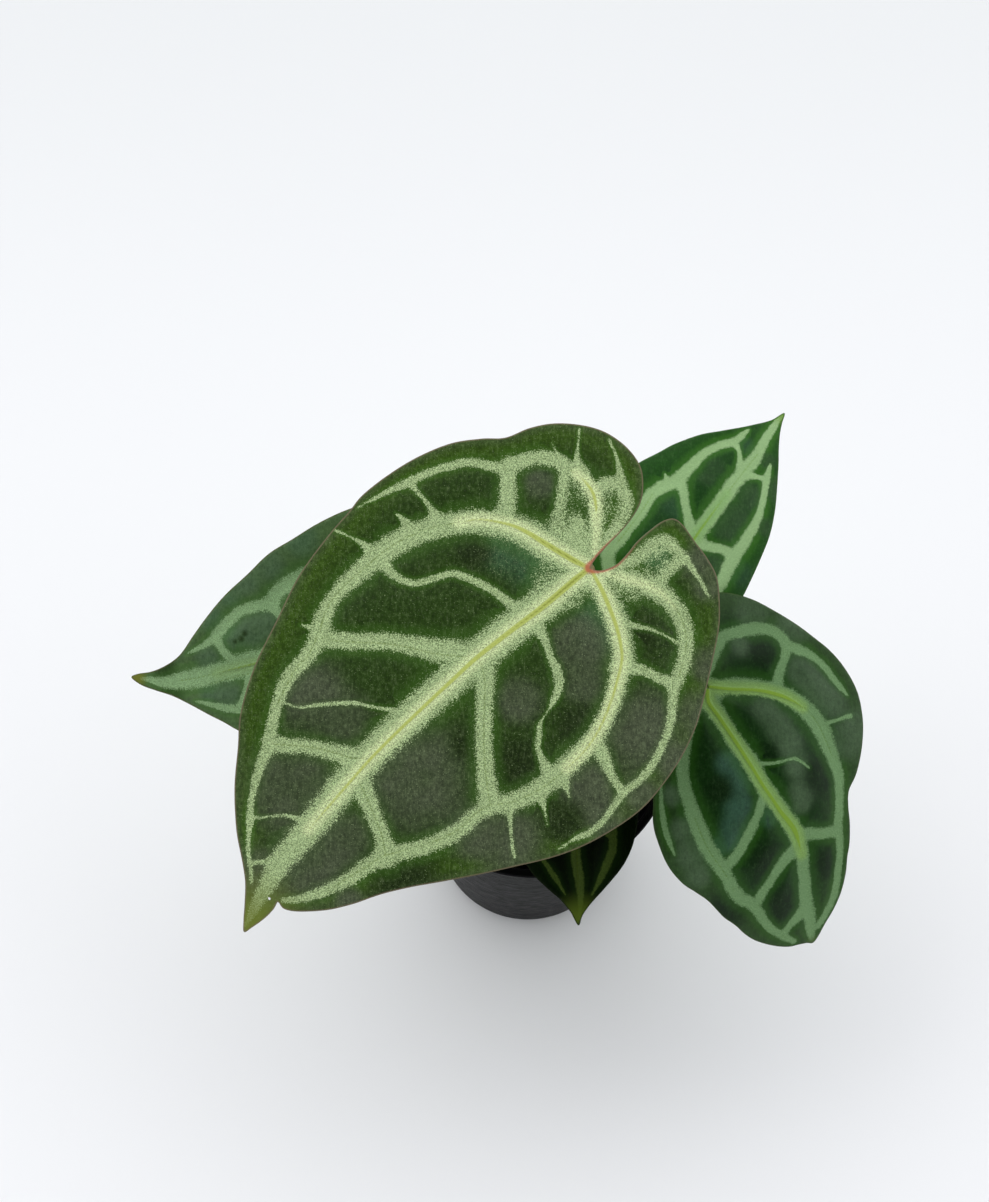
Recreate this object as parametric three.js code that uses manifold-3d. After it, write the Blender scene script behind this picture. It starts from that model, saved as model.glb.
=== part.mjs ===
// A young potted anthurium hybrid: five heart-shaped leaves with pale, sunken veins, each hanging
// from its own petiole, on a short stem that stands in coarse bark mix in a black nursery pot.
// Millimetres, +Z up. The origin is the centre of the pot's flat underside.
import * as THREE from "three";
import { mergeVertices } from "three/addons/utils/BufferGeometryUtils.js";
import Module from "manifold-3d";

const wasm = await Module();
wasm.setup();

// Driving dimensions.
const GAP = 0.3; // clearance where two pieces meet
const POT = {
  height: 80,
  rimRadius: 42,
  footRadius: 30,
  wall: 1.2,
  floor: 1.6,
  collar: 8, // height of the stiffening band under the lip
  collarStep: 1.4, // how far the band stands out of the wall
  lip: 1.2, // how far the lip stands out of the band
  sides: 40,
};
const DRAIN = { holes: 8, radius: 3.4, ring: 21, sides: 12 };
const MIX = { top: 69, chips: 34, seed: 7 };
const STEM = { x: 5, y: 2, radius: 5.6, foot: 50, top: 84, sides: 18 };
const BLADE = { edge: 0.8, rib: 1.3, ribWidth: 2.4, puff: 1.1, valley: 6 };

const COLOURS = {
  blade: { color: 0x2c4a22, roughness: 0.42, metalness: 0 },
  petiole: { color: 0x5c7a38, roughness: 0.5, metalness: 0 },
  stem: { color: 0x6a5236, roughness: 0.85, metalness: 0 },
  mix: { color: 0x2e2118, roughness: 0.95, metalness: 0 },
  pot: { color: 0x101010, roughness: 0.45, metalness: 0 },
};

// Each leaf is drawn flat in its own plane: x across, y from the petiole (0, 0) to the tip, with
// the back lobes at negative y. base and tip place that plane, and facing turns its upper face.
// arch bows the midrib up, cup drops both sides, roll drops the right side, and wave ruffles the
// margin. Veins are centre lines, the main ones only, which lie in the valleys of the blade.
const LEAVES = {
  front: {
    base: [13.9, 18.5, 150],
    tip: [-76.6, -64.8, 104],
    facing: [0, -0.5, 0.87],
    arch: 6,
    cup: 5,
    roll: 0,
    wave: 1.2,
    ripples: 7,
    rays: 24,
    rows: 18,
    petiole: { radius: 1.9, azimuth: 115, rise: 82, via: [[1.6, 7.6, 104], [2.4, 12.4, 125]] },
    midrib: [[0, 0], [1, 9], [2.6, 19], [4.4, 30], [5.3, 42], [6.4, 54], [7, 67], [7.2, 80], [7, 91],
      [6.4, 100], [5.6, 109], [3.9, 117], [2, 125], [0, 131.5]],
    rightSinus: [[0, 0], [0.6, -3], [0.7, -8], [0.6, -13], [1, -18]],
    rightMargin: [[1, -18], [2.2, -22.5], [4.6, -26], [8, -29], [12, -30.4], [17, -30.7], [22.5, -29.6],
      [28, -26.6], [33.4, -21.8], [37.2, -16.2], [40, -9.8], [44.4, -5.1], [49.4, 1.5], [53.3, 10.4],
      [55.6, 19.3], [56.7, 27.5], [56.2, 33], [55.8, 41], [53.9, 54], [50, 66], [45.6, 79], [40, 90],
      [34.4, 97], [27.8, 105.4], [20, 113], [13.3, 117.8], [8.9, 121.3], [5, 125.8], [2.2, 129.3], [0, 131.5]],
    leftSinus: [[0, 0], [-2, -0.9], [-3.5, -3], [-4.6, -6], [-4.7, -10], [-4.4, -14], [-4.9, -19]],
    leftMargin: [[-4.9, -19], [-5.7, -23], [-7.4, -25.4], [-10.5, -25.8], [-15.6, -24.8], [-21, -23.8],
      [-26.7, -21.7], [-32.2, -16.8], [-36.2, -12.2], [-40.6, -5.1], [-45.6, 3.8], [-49.4, 11.6],
      [-51.8, 20], [-53, 29], [-53, 37], [-51.1, 46], [-48.3, 54.3], [-44.4, 62], [-38.9, 70.4],
      [-33.9, 77.7], [-27.8, 86], [-23.3, 92], [-18.9, 98.8], [-15.6, 105.4], [-12.2, 111],
      [-8.9, 115], [-5.6, 118.2], [-3, 119.6], [-0.8, 119.4], [-1.3, 123], [-1, 127.5], [0, 131.5]],
    veins: [
      [[0, 0], [6.7, 1.5], [13.3, 3.2], [20, 4.7], [26, 7.7], [30, 11], [34.4, 15.4], [38.3, 21.5],
        [41, 28], [42.4, 36], [43.1, 44], [42.8, 52], [41, 57], [39, 60.4], [37.8, 65], [37.6, 70.4],
        [36.9, 77], [35, 82.7], [32.2, 87.7], [29.4, 90], [27.8, 95], [26.1, 99.3], [23.3, 104.3],
        [19.4, 108.2], [15.6, 112], [11.1, 116]],
      [[5.3, 37], [11, 41.6], [17.8, 45.4], [24.4, 49.9], [28.9, 54.9], [34.4, 59.3], [39, 61]],
      [[7, 76], [10, 77.7], [15.6, 79.9], [20, 83.2], [24.4, 88.2], [29, 90.5]],
      [[0, 0], [5.6, -7.3], [8.9, -11.8], [12.2, -14.2], [16.7, -15.3], [22.2, -14.6], [27.8, -12.9],
        [32.2, -8.4], [34.4, -4], [37.8, -1.2], [41.7, 1], [45, 4.9], [48.3, 10.4], [50.6, 16.6]],
      [[29, 9], [30.3, 3.8], [32.4, -0.7], [34.4, -3]],
      [[0, 0], [-4.4, 2.1], [-11, 4.9], [-17.8, 8.2], [-23.3, 12.1], [-26.7, 17.1], [-29.4, 25],
        [-31.3, 32.7], [-32.2, 40.4], [-32, 48.2], [-30, 55], [-27.2, 60.4], [-23.3, 63.5],
        [-21.7, 69.3], [-20.6, 75], [-18.3, 80.4], [-17.2, 86], [-15, 89.3], [-13.3, 93.8],
        [-12.2, 99.3], [-10, 106], [-7.8, 111], [-5, 115.4]],
      [[4.6, 34], [0, 41.6], [-4.4, 47.1], [-10, 52.7], [-15.6, 57.1], [-18.9, 60.4], [-23, 63.4]],
      [[7, 81], [0, 84], [-4.4, 86], [-8.9, 88.2], [-14, 89.8]],
      [[0, 0], [-4.4, -3.4], [-10, -7.3], [-15.6, -9.6], [-21, -9.6], [-26.7, -8.4], [-32.2, -4],
        [-36, 1.5], [-38, 7.1], [-41, 11.6], [-43.9, 16], [-46, 22.7], [-47.8, 29.3], [-48.3, 36]],
      [[-24, 11.8], [-30, 10.4], [-37, 8.6]],
    ],
  },
  left: {
    base: [-18, 11, 124],
    tip: [-113.6, 7.6, 108],
    facing: [0, -0.45, 0.9],
    arch: 5,
    cup: 4,
    roll: 0,
    wave: 1,
    ripples: 6,
    rays: 17,
    rows: 12,
    petiole: { radius: 1.7, azimuth: 190, rise: 76, via: [[-9, 1.5, 98]] },
    midrib: [[0, 0], [-0.2, 20], [-0.6, 40], [-1.2, 60], [-1.8, 70], [-2, 80], [-0.9, 91], [0, 98]],
    rightSinus: [[0, 0], [1.6, -1.6], [2.6, -6], [3, -11], [4.2, -15]],
    rightMargin: [[4.2, -15], [7, -18.8], [12, -21], [18, -21.6], [25, -19.8], [32, -15], [37.5, -8],
      [41, 1], [42.4, 11], [42, 21], [39.8, 31], [36.7, 39.3], [33.3, 46.3], [30, 53.4], [25, 60.1],
      [20, 67.2], [15, 72.6], [10, 77.2], [5.8, 80.9], [3.6, 83.8], [1.8, 88], [0.9, 92], [0.8, 96], [0, 98]],
    leftSinus: [[0, 0], [-1.4, -1.8], [-2.2, -6], [-3, -10.5], [-4.6, -14]],
    leftMargin: [[-4.6, -14], [-8, -17.4], [-13, -18.8], [-19, -17.6], [-25, -13.6], [-30, -7],
      [-33.2, 2], [-34.6, 13], [-34, 25], [-31.6, 37], [-27.6, 49], [-22.6, 59.6], [-17.9, 67.2],
      [-15.4, 70.9], [-12.9, 75.1], [-10, 79.7], [-6.7, 85.5], [-4.6, 90.5], [-2.5, 95.1], [0, 98]],
    veins: [
      [[0, 0], [9, 1.8], [17, 5], [23, 10.6], [27, 19], [28.4, 28], [27.6, 37], [24.4, 45], [19.5, 51.5],
        [15, 54], [15.6, 59], [14, 63.6], [11.3, 68.4], [8, 71.6], [6.8, 75], [5.8, 78]],
      [[-1, 46], [4, 48], [9, 50.6], [15, 54]],
      [[-1.4, 63], [3.3, 68.4], [8, 71.4]],
      [[0, 0], [7, -6.5], [14, -10.4], [21, -10.6], [27.6, -6.8], [32, 0.4], [34.6, 10], [35.4, 19]],
      [[0, 0], [-8, 2.2], [-15, 6.4], [-20, 13.6], [-22.4, 23], [-22.6, 33], [-21, 42.6], [-17.6, 52],
        [-14, 60], [-12.4, 66], [-11.5, 70], [-10.4, 75]],
      [[-0.8, 44], [-7, 49], [-12.6, 53], [-17.4, 53.4]],
      [[-1.6, 62], [-7, 64.6], [-12.2, 66.6]],
      [[0, 0], [-6.4, -5.6], [-13, -9], [-19.4, -8], [-24.6, -3], [-28, 5], [-29.4, 14]],
    ],
  },
  back: {
    base: [29.2, 20.7, 119.1],
    tip: [75.6, 86.1, 128],
    facing: [0.25, -0.25, 0.93],
    arch: 4,
    cup: 6,
    roll: 0,
    wave: 0.8,
    ripples: 6,
    rays: 16,
    rows: 13,
    petiole: { radius: 1.6, azimuth: 55, rise: 71, via: [[18, 14, 96]] },
    midrib: [[0, 0], [0, 15], [0, 30], [-0.2, 50], [0.2, 65], [0, 80.7]],
    rightSinus: [[0, 0], [1.3, -1.6], [2, -5], [2.6, -8.6], [4, -11.4]],
    rightMargin: [[4, -11.4], [7, -13.8], [11, -13.6], [15, -10.6], [18.4, -5.4], [20.8, 2], [22.2, 10],
      [22.5, 17], [21.9, 24], [20.6, 31], [19.2, 37.5], [17.4, 45], [14.6, 52], [11.4, 58], [8, 63.6],
      [4.8, 68.6], [2.6, 73], [1.2, 77], [0, 80.7]],
    leftSinus: [[0, 0], [-1.3, -1.6], [-2, -5], [-2.8, -9], [-4.4, -12.4]],
    leftMargin: [[-4.4, -12.4], [-8, -15.4], [-13, -16], [-18.6, -13.6], [-23.6, -8.4], [-27.4, -0.6],
      [-29.4, 8], [-30, 17], [-29.2, 27], [-27.6, 34], [-25.8, 40], [-23, 46], [-20.8, 50.9],
      [-16.7, 57.2], [-12.5, 61.8], [-8.3, 66.8], [-4.6, 71.8], [-1.9, 76], [0, 80.7]],
    veins: [
      [[0, 0], [7, 3], [11.6, 8], [13.6, 15], [13.8, 22], [13, 28], [13.4, 34], [13.2, 40], [12.3, 46],
        [10.6, 52], [8.3, 57], [6.5, 60.2]],
      [[0, 26], [5, 29.4], [10, 31.6], [13.3, 33]],
      [[0, 50], [3.4, 55.6], [6.6, 59.6]],
      [[0, 0], [6, -4.4], [11, -5.4], [15.4, -1.6], [18, 6]],
      [[0, 0], [-9, 4], [-14.6, 9], [-17.4, 16], [-18.2, 23], [-18.4, 29], [-17, 34], [-14.6, 39.4],
        [-13.4, 47], [-11.7, 53.4], [-9.2, 59], [-7.2, 62.6], [-6.3, 66]],
      [[0, 27.6], [-3, 29.6], [-7, 33], [-11, 36.8], [-14.8, 39.4]],
      [[-0.4, 55], [-3.4, 59], [-7, 61.4]],
      [[0, 0], [-6.6, -4.8], [-13, -7.4], [-18.6, -5.6], [-22.6, 0.6], [-25, 8]],
    ],
  },
  right: {
    base: [48.1, 0.1, 116],
    tip: [79.3, -58.4, 70],
    facing: [0.15, -0.45, 0.85],
    arch: 9,
    cup: 4,
    roll: 0,
    wave: 1,
    ripples: 6,
    rays: 17,
    rows: 12,
    petiole: { radius: 1.6, azimuth: -12, rise: 77, via: [[24, -1, 97]] },
    midrib: [[0, 0], [1.2, 10], [0.6, 20], [-0.8, 28.3], [-2.4, 36], [-4.2, 43], [-4.8, 48.5], [-3.4, 56],
      [-2.4, 64], [-1.6, 71.5], [0, 80]],
    rightSinus: [[0, 0], [1.6, -1.6], [2.4, -6], [3, -10.6], [4.6, -14]],
    rightMargin: [[4.6, -14], [7.6, -16.6], [12, -16.4], [16.4, -12.8], [19.6, -6.4], [22, 2], [24.4, 11],
      [27.2, 20], [30.2, 26.4], [31.2, 32], [31.3, 38.3], [29.7, 44.2], [27.2, 48.3], [24.7, 52.5],
      [22.2, 59], [19.7, 63.3], [18, 67.1], [15.5, 70.8], [11.3, 74.6], [7.2, 77.1], [4, 78], [1.8, 78.8], [0, 80]],
    leftSinus: [[0, 0], [-1.6, -1.8], [-2.6, -5.6], [-3.6, -11], [-5.4, -16.4]],
    leftMargin: [[-5.4, -16.4], [-9, -20.4], [-14, -21.6], [-19.4, -19.8], [-24.6, -15.6], [-28.6, -10.4],
      [-32.2, -4.9], [-35, 0.3], [-37.6, 5.6], [-39.1, 10.8], [-39.7, 16.6], [-39.1, 21.5], [-37, 27.5],
      [-33.2, 33.8], [-28.7, 39.2], [-24.8, 42.2], [-22.8, 46], [-21.2, 50.8], [-19, 55.8], [-17, 59.2],
      [-14.9, 63.8], [-12, 68.8], [-8.7, 72.9], [-5.3, 76], [-2, 79], [0, 80]],
    veins: [
      [[0, 0], [6, 3.6], [11, 8], [15.5, 15], [18, 21.7], [19.6, 28.3], [19.7, 35], [18.8, 41], [17.6, 46],
        [16.9, 50], [16.8, 55], [14.7, 58.5], [12.6, 60.2], [12, 64.4], [10.1, 69.2], [7.2, 72.8]],
      [[-2.2, 33.6], [2.2, 35.4], [5.5, 39.2], [9.7, 42.5], [14.7, 45.6], [17.4, 46.6]],
      [[-4.8, 48.6], [-0.3, 52.4], [4.7, 55.8], [9.7, 59.2], [12.6, 60.4]],
      [[0, 0], [4.6, -6], [9.6, -9.6], [14, -7], [17.4, -0.4], [19.6, 7]],
      [[0, 0], [-3.7, 1.7], [-8.7, 4.2], [-13.7, 6.7], [-17.8, 9.6], [-21.2, 13.3], [-23.7, 17.5],
        [-24.6, 23.3], [-24.8, 30], [-24.3, 36], [-22.8, 41.7], [-21.2, 46], [-18.7, 50], [-16.2, 52.4],
        [-14.5, 57], [-12.8, 62.5], [-10.3, 67], [-7.8, 71]],
      [[-4.8, 46.4], [-8.7, 48.3], [-12.8, 49.3], [-17, 51]],
      [[0, 0], [-5.3, -5.8], [-9.5, -9.2], [-15.3, -10.2], [-21.2, -8.3], [-25.3, -5], [-27.8, -0.4],
        [-31.2, 3.6], [-33.7, 7.6], [-35.3, 12.5], [-36.5, 17.5]],
      [[-18.4, 9], [-22.8, 4.4], [-27, 0.4]],
    ],
  },
  young: {
    base: [9.6, -9.9, 100],
    tip: [12.2, -54.5, 79],
    facing: [0.05, -0.3, 0.95],
    arch: 5,
    cup: 3,
    roll: 0,
    wave: 0.6,
    ripples: 5,
    rays: 12,
    rows: 10,
    petiole: { radius: 1.3, azimuth: -80, rise: 72, via: [[7.6, -5.4, 84]] },
    midrib: [[0, 0], [-0.2, 18], [-0.2, 36], [0, 50.5]],
    rightSinus: [[0, 0], [1, -1.4], [1.7, -4.2], [2.8, -7]],
    rightMargin: [[2.8, -7], [5.6, -9.8], [9.6, -10.6], [13.8, -8], [17, -2.6], [18.8, 5], [19, 13.6],
      [17.6, 22.4], [15.2, 29.6], [12.4, 35], [8.6, 39.2], [5, 42.7], [2.2, 46.4], [0, 50.5]],
    leftSinus: [[0, 0], [-1, -1.4], [-1.7, -4.2], [-2.8, -7]],
    leftMargin: [[-2.8, -7], [-5.8, -9.6], [-9.8, -10], [-14, -6.8], [-17.2, -1], [-19, 6.6], [-19.2, 15],
      [-18.2, 22.4], [-16.6, 28], [-14.4, 32.4], [-11.9, 35.8], [-7.5, 40.5], [-3.8, 44.3], [-1.3, 47.6], [0, 50.5]],
    veins: [
      [[0, 0], [5.6, 3], [9.6, 9], [11.4, 17], [11, 25], [9.4, 31.4], [7, 35.2], [5.4, 38.6]],
      [[0, 17], [5, 21], [10.8, 25]],
      [[0, 0], [-5.6, 3], [-9.8, 9.6], [-11.4, 18], [-10.6, 26.4], [-9.8, 31], [-7.8, 35.4], [-5.4, 39.6]],
      [[0, 18], [-5, 22], [-10.6, 26.4]],
    ],
  },
};

const rad = THREE.MathUtils.degToRad;
const v2 = (p) => new THREE.Vector2(...p);
const v3 = (p) => new THREE.Vector3(...p);

// The same numbers in the same order on every run.
function seeded(seed) {
  let s = seed >>> 0;
  return () => {
    s = (s + 0x6d2b79f5) >>> 0;
    let t = Math.imul(s ^ (s >>> 15), 1 | s);
    t = (t + Math.imul(t ^ (t >>> 7), 61 | t)) ^ t;
    return ((t ^ (t >>> 14)) >>> 0) / 4294967296;
  };
}

// A closed three.js geometry as a solid, and a solid as a geometry.
function solid(geometry) {
  const bare = geometry.clone();
  for (const name of Object.keys(bare.attributes)) if (name !== "position") bare.deleteAttribute(name);
  const merged = mergeVertices(bare, 1e-4);
  return new wasm.Manifold(
    new wasm.Mesh({
      numProp: 3,
      vertProperties: new Float32Array(merged.attributes.position.array),
      triVerts: new Uint32Array(merged.index.array),
    }),
  );
}
function geometryOf(made) {
  const m = made.getMesh();
  const geometry = new THREE.BufferGeometry();
  geometry.setAttribute("position", new THREE.BufferAttribute(m.vertProperties, 3));
  geometry.setIndex(new THREE.BufferAttribute(m.triVerts, 1));
  return geometry;
}
function piece(name, geometry, finish) {
  const flat = geometry.index ? geometry.toNonIndexed() : geometry;
  flat.computeVertexNormals();
  const mesh = new THREE.Mesh(flat, new THREE.MeshStandardMaterial(COLOURS[finish]));
  mesh.name = name;
  return mesh;
}

// Shortest distance from a point of the leaf plane to a line of points.
function distanceTo(line, x, y) {
  let least = Infinity;
  for (let i = 1; i < line.length; i++) {
    const [ax, ay] = line[i - 1];
    const [bx, by] = line[i];
    const [dx, dy] = [bx - ax, by - ay];
    const along = THREE.MathUtils.clamp(((x - ax) * dx + (y - ay) * dy) / (dx * dx + dy * dy), 0, 1);
    least = Math.min(least, Math.hypot(x - ax - along * dx, y - ay - along * dy));
  }
  return least;
}

// Places a leaf's flat plane in space and gives it its form.
class LeafForm {
  constructor(leaf) {
    this.leaf = leaf;
    this.base = v3(leaf.base);
    const reach = v3(leaf.tip).sub(this.base);
    this.length = reach.length();
    this.along = reach.normalize();
    const facing = v3(leaf.facing);
    this.up = facing.addScaledVector(this.along, -facing.dot(this.along)).normalize();
    this.across = new THREE.Vector3().crossVectors(this.along, this.up);
    this.half = Math.max(...leaf.rightMargin.map((p) => p[0]));
  }
  // Height of the upper face over the flat plane.
  height(x, y) {
    const { arch, cup, roll, wave, ripples, veins, midrib } = this.leaf;
    const v = y / this.length;
    const u = x / this.half;
    const bow = arch * 4 * v * (1 - v) - cup * u * u - roll * u;
    const outward = Math.min(1, Math.hypot(u, v - 0.3) / 0.9);
    const ruffle = wave * outward ** 3 * Math.sin(ripples * Math.atan2(u, v - 0.3));
    const toVein = Math.min(distanceTo(midrib, x, y), ...veins.map((line) => distanceTo(line, x, y)));
    const puffed = BLADE.puff * (1 - Math.exp(-((toVein / BLADE.valley) ** 2)));
    return bow + ruffle + puffed;
  }
  thickness(x, y) {
    const taper = 1 - 0.8 * THREE.MathUtils.clamp(y / this.length, 0, 1);
    const rib = Math.exp(-((distanceTo(this.leaf.midrib, x, y) / BLADE.ribWidth) ** 2));
    return BLADE.edge + BLADE.rib * taper * rib;
  }
  at(x, y, sink = 0) {
    return this.base
      .clone()
      .addScaledVector(this.across, x)
      .addScaledVector(this.along, y)
      .addScaledVector(this.up, this.height(x, y) - sink);
  }
}

// The points of one half of a leaf: rays fan out from the petiole, the first along the edge of the
// sinus and the last along the midrib, and each has the same number of rows.
function halfFan(leaf, side) {
  const spaced = (points, n) => new THREE.SplineCurve(points.map(v2)).getSpacedPoints(n);
  const { rays, rows } = leaf;
  const sinus = spaced(leaf[side + "Sinus"], rows);
  const midrib = spaced(leaf.midrib, rows);
  const margin = spaced(leaf[side + "Margin"], rays);
  const fan = [];
  for (let i = 0; i <= rays; i++) {
    const t = i / rays;
    const ray = [];
    for (let j = 1; j <= rows; j++) {
      const r = j / rows;
      const blend = (a, b) => a.clone().multiplyScalar(1 - t).addScaledVector(b, t);
      const reach = margin[i].clone().sub(blend(sinus[rows], midrib[rows]));
      ray.push(blend(sinus[j], midrib[j]).addScaledVector(reach, r));
    }
    fan.push(ray);
  }
  return fan;
}

// A blade: upper and lower face split into the same triangles, closed by a wall along the edge.
function bladeGeometry(form) {
  const { leaf } = form;
  const right = halfFan(leaf, "right");
  const left = halfFan(leaf, "left");
  const fan = [...right, ...left.slice(0, -1).reverse()];
  const rows = leaf.rows;
  const flat = [new THREE.Vector2(0, 0), ...fan.flat()];
  const upper = flat.map((p) => form.at(p.x, p.y));
  const lower = flat.map((p) => form.at(p.x, p.y, form.thickness(p.x, p.y)));
  const n = flat.length;
  const id = (ray, row) => (row === 0 ? 0 : 1 + ray * rows + row - 1);
  const faces = [];
  const both = (a, b, c) => faces.push([a, b, c], [a + n, c + n, b + n]);
  for (let i = 0; i + 1 < fan.length; i++) {
    both(0, id(i, 1), id(i + 1, 1));
    for (let j = 1; j < rows; j++) {
      both(id(i, j), id(i, j + 1), id(i + 1, j + 1));
      both(id(i, j), id(i + 1, j + 1), id(i + 1, j));
    }
  }
  const last = fan.length - 1;
  const edge = [
    ...Array.from({ length: rows }, (_, j) => id(0, j)),
    ...fan.map((_, i) => id(i, rows)),
    ...Array.from({ length: rows - 1 }, (_, j) => id(last, rows - 1 - j)),
  ];
  edge.forEach((a, k) => {
    const b = edge[(k + 1) % edge.length];
    faces.push([a, a + n, b + n], [a, b + n, b]);
  });
  const geometry = new THREE.BufferGeometry().setFromPoints([...upper, ...lower]);
  geometry.setIndex(faces.flat());
  return geometry;
}

// A round tube along a curve, with its own radius at each share of the way and flat ends.
function taperedTube(curve, radiusAt, steps, sides) {
  const frames = curve.computeFrenetFrames(steps, false);
  const points = [];
  for (let i = 0; i <= steps; i++) {
    const centre = curve.getPointAt(i / steps);
    for (let k = 0; k < sides; k++) {
      const a = (2 * Math.PI * k) / sides;
      const r = radiusAt(i / steps);
      points.push(
        centre
          .clone()
          .addScaledVector(frames.normals[i], r * Math.cos(a))
          .addScaledVector(frames.binormals[i], r * Math.sin(a)),
      );
    }
  }
  const start = points.push(curve.getPointAt(0)) - 1;
  const end = points.push(curve.getPointAt(1)) - 1;
  const faces = [];
  for (let k = 0; k < sides; k++) {
    const next = (k + 1) % sides;
    for (let i = 0; i < steps; i++) {
      const [a, b] = [i * sides + k, i * sides + next];
      faces.push([a, b, b + sides], [a, b + sides, a + sides]);
    }
    faces.push([start, next, k], [end, steps * sides + k, steps * sides + next]);
  }
  const geometry = new THREE.BufferGeometry().setFromPoints(points);
  geometry.setIndex(faces.flat());
  return geometry;
}

// A petiole rises out of the stem's side and bows over to end square under its blade, where it
// swells into the knee that turns the blade to the light. extra fattens it to cut its socket.
function petioleGeometry(form, extra = 0) {
  const { radius, azimuth, rise, via } = form.leaf.petiole;
  const away = new THREE.Vector3(Math.cos(rad(azimuth)), Math.sin(rad(azimuth)), 0.9).normalize();
  const start = new THREE.Vector3(STEM.x, STEM.y, rise).addScaledVector(away, 4 - 1.5 * extra);
  const end = form.at(0, 0.8, BLADE.edge + BLADE.rib + 0.85);
  const below = end.clone().addScaledVector(form.up, -2.5);
  const bend = end.clone().addScaledVector(form.up, -8);
  const curve = new THREE.CatmullRomCurve3([start, ...via.map(v3), bend, below, end]);
  const knee = (s) => 0.24 * Math.exp(-(((s - 0.94) / 0.05) ** 2));
  const sheath = (s) => 0.3 * Math.exp(-((s / 0.12) ** 2));
  return taperedTube(curve, (s) => radius * (1.08 - 0.16 * s + knee(s) + sheath(s)) + extra, 18, 8);
}

// The stem: a short, ringed stub with a rounded top, standing in its hole in the mix, with a pair of
// dry scale leaves beside it.
function stemGeometry(petioles) {
  const { radius, foot, top, sides } = STEM;
  const profile = [new THREE.Vector2(0, foot)];
  const rings = 6;
  for (let i = 0; i <= rings; i++) {
    const z = foot + ((top - 3 - foot) * i) / rings;
    profile.push(new THREE.Vector2(radius, z), new THREE.Vector2(radius - 0.5, z + 1.4));
  }
  profile.push(new THREE.Vector2(radius * 0.6, top), new THREE.Vector2(0, top + 0.8));
  const stub = new THREE.LatheGeometry(profile, sides).rotateX(Math.PI / 2);
  let made = solid(stub.translate(STEM.x, STEM.y, 0));
  for (const petiole of petioles) made = made.subtract(petiole);
  return geometryOf(made);
}

// Half-width of the pot's inside at a height.
const insideRadius = (z) => {
  const share = (z - POT.floor) / (POT.height - POT.floor);
  return POT.footRadius + (POT.rimRadius - POT.lip - POT.collarStep - POT.footRadius) * share - POT.wall;
};

function potGeometry() {
  const { height, rimRadius, footRadius, wall, floor, collar, collarStep, lip, sides } = POT;
  const band = height - collar;
  const outside = (z) => insideRadius(z) + wall;
  const profile = [
    [0, 0],
    [footRadius - 1.2, 0],
    [footRadius, 1.4],
    [outside(band), band],
    [rimRadius - lip - 0.8, band + 0.8],
    [rimRadius - lip, height - 2.4],
    [rimRadius, height - 1.8],
    [rimRadius, height - 0.5],
    [rimRadius - 0.6, height],
    [rimRadius - lip - wall, height],
    [rimRadius - lip - wall - 0.6, band + 2.2],
    [insideRadius(band), band - 0.4],
    [insideRadius(floor), floor],
    [0, floor],
  ].map(v2);
  const shell = new THREE.LatheGeometry(profile, sides).rotateX(Math.PI / 2);
  let pot = solid(shell);
  for (let k = 0; k < DRAIN.holes; k++) {
    const a = (2 * Math.PI * (k + 0.5)) / DRAIN.holes;
    const drill = new THREE.CylinderGeometry(DRAIN.radius, DRAIN.radius, 8, DRAIN.sides).rotateX(Math.PI / 2);
    pot = pot.subtract(solid(drill.translate(DRAIN.ring * Math.cos(a), DRAIN.ring * Math.sin(a), floor)));
  }
  return geometryOf(pot);
}

// The mix fills the pot to a finger's width under the rim. Bark chips lie on it and are sunk in it.
function mixGeometry() {
  const bottom = POT.floor + GAP;
  const profile = [
    [0, bottom],
    [insideRadius(bottom) - GAP, bottom],
    [insideRadius(MIX.top - 3) - GAP, MIX.top - 3],
    [insideRadius(MIX.top - 3) - 2.5, MIX.top - 0.8],
    [0, MIX.top],
  ].map(v2);
  let mix = solid(new THREE.LatheGeometry(profile, POT.sides).rotateX(Math.PI / 2));
  const random = seeded(MIX.seed);
  const between = (low, high) => low + (high - low) * random();
  for (let k = 0; k < MIX.chips; k++) {
    const a = k * 2.39996 + between(-0.2, 0.2);
    const r = 12 + 17.5 * Math.sqrt((k + 0.5) / MIX.chips);
    const chip = new THREE.BoxGeometry(between(6, 11), between(4, 7), between(3, 4.6));
    chip.rotateX(between(-0.5, 0.5)).rotateY(between(-0.5, 0.5)).rotateZ(between(0, Math.PI));
    chip.translate(r * Math.cos(a), r * Math.sin(a), MIX.top - between(-0.4, 1.2));
    mix = mix.add(solid(chip));
  }
  const hole = new THREE.CylinderGeometry(STEM.radius + GAP, STEM.radius + GAP, 40, STEM.sides);
  hole.rotateX(Math.PI / 2).translate(STEM.x, STEM.y, STEM.foot - GAP + 20);
  return geometryOf(mix.subtract(solid(hole)));
}

const plant = new THREE.Group();
const forms = Object.fromEntries(Object.entries(LEAVES).map(([name, leaf]) => [name, new LeafForm(leaf)]));
for (const [name, form] of Object.entries(forms)) {
  plant.add(piece("blade_" + name, bladeGeometry(form), "blade"));
  plant.add(piece("petiole_" + name, petioleGeometry(form), "petiole"));
}
const sockets = Object.values(forms).map((form) => solid(petioleGeometry(form, 1.5 * GAP)));
plant.add(piece("stem", stemGeometry(sockets), "stem"));
plant.add(piece("potting_mix", mixGeometry(), "mix"));
plant.add(piece("nursery_pot", potGeometry(), "pot"));

export default plant;
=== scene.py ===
# %% [markdown]
# # A potted anthurium hybrid
#
# Five heart-shaped leaves with pale, sunken veins hang from their own stalks over a black
# nursery pot. The solids of the plant are loaded first: they fix every size and place.
# Each is then replaced with a finer piece that follows the same form.

import math
import random
from types import SimpleNamespace

import bpy
import numpy as np
from mathutils import Matrix, Vector, noise
from mathutils.geometry import delaunay_2d_cdt


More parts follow.
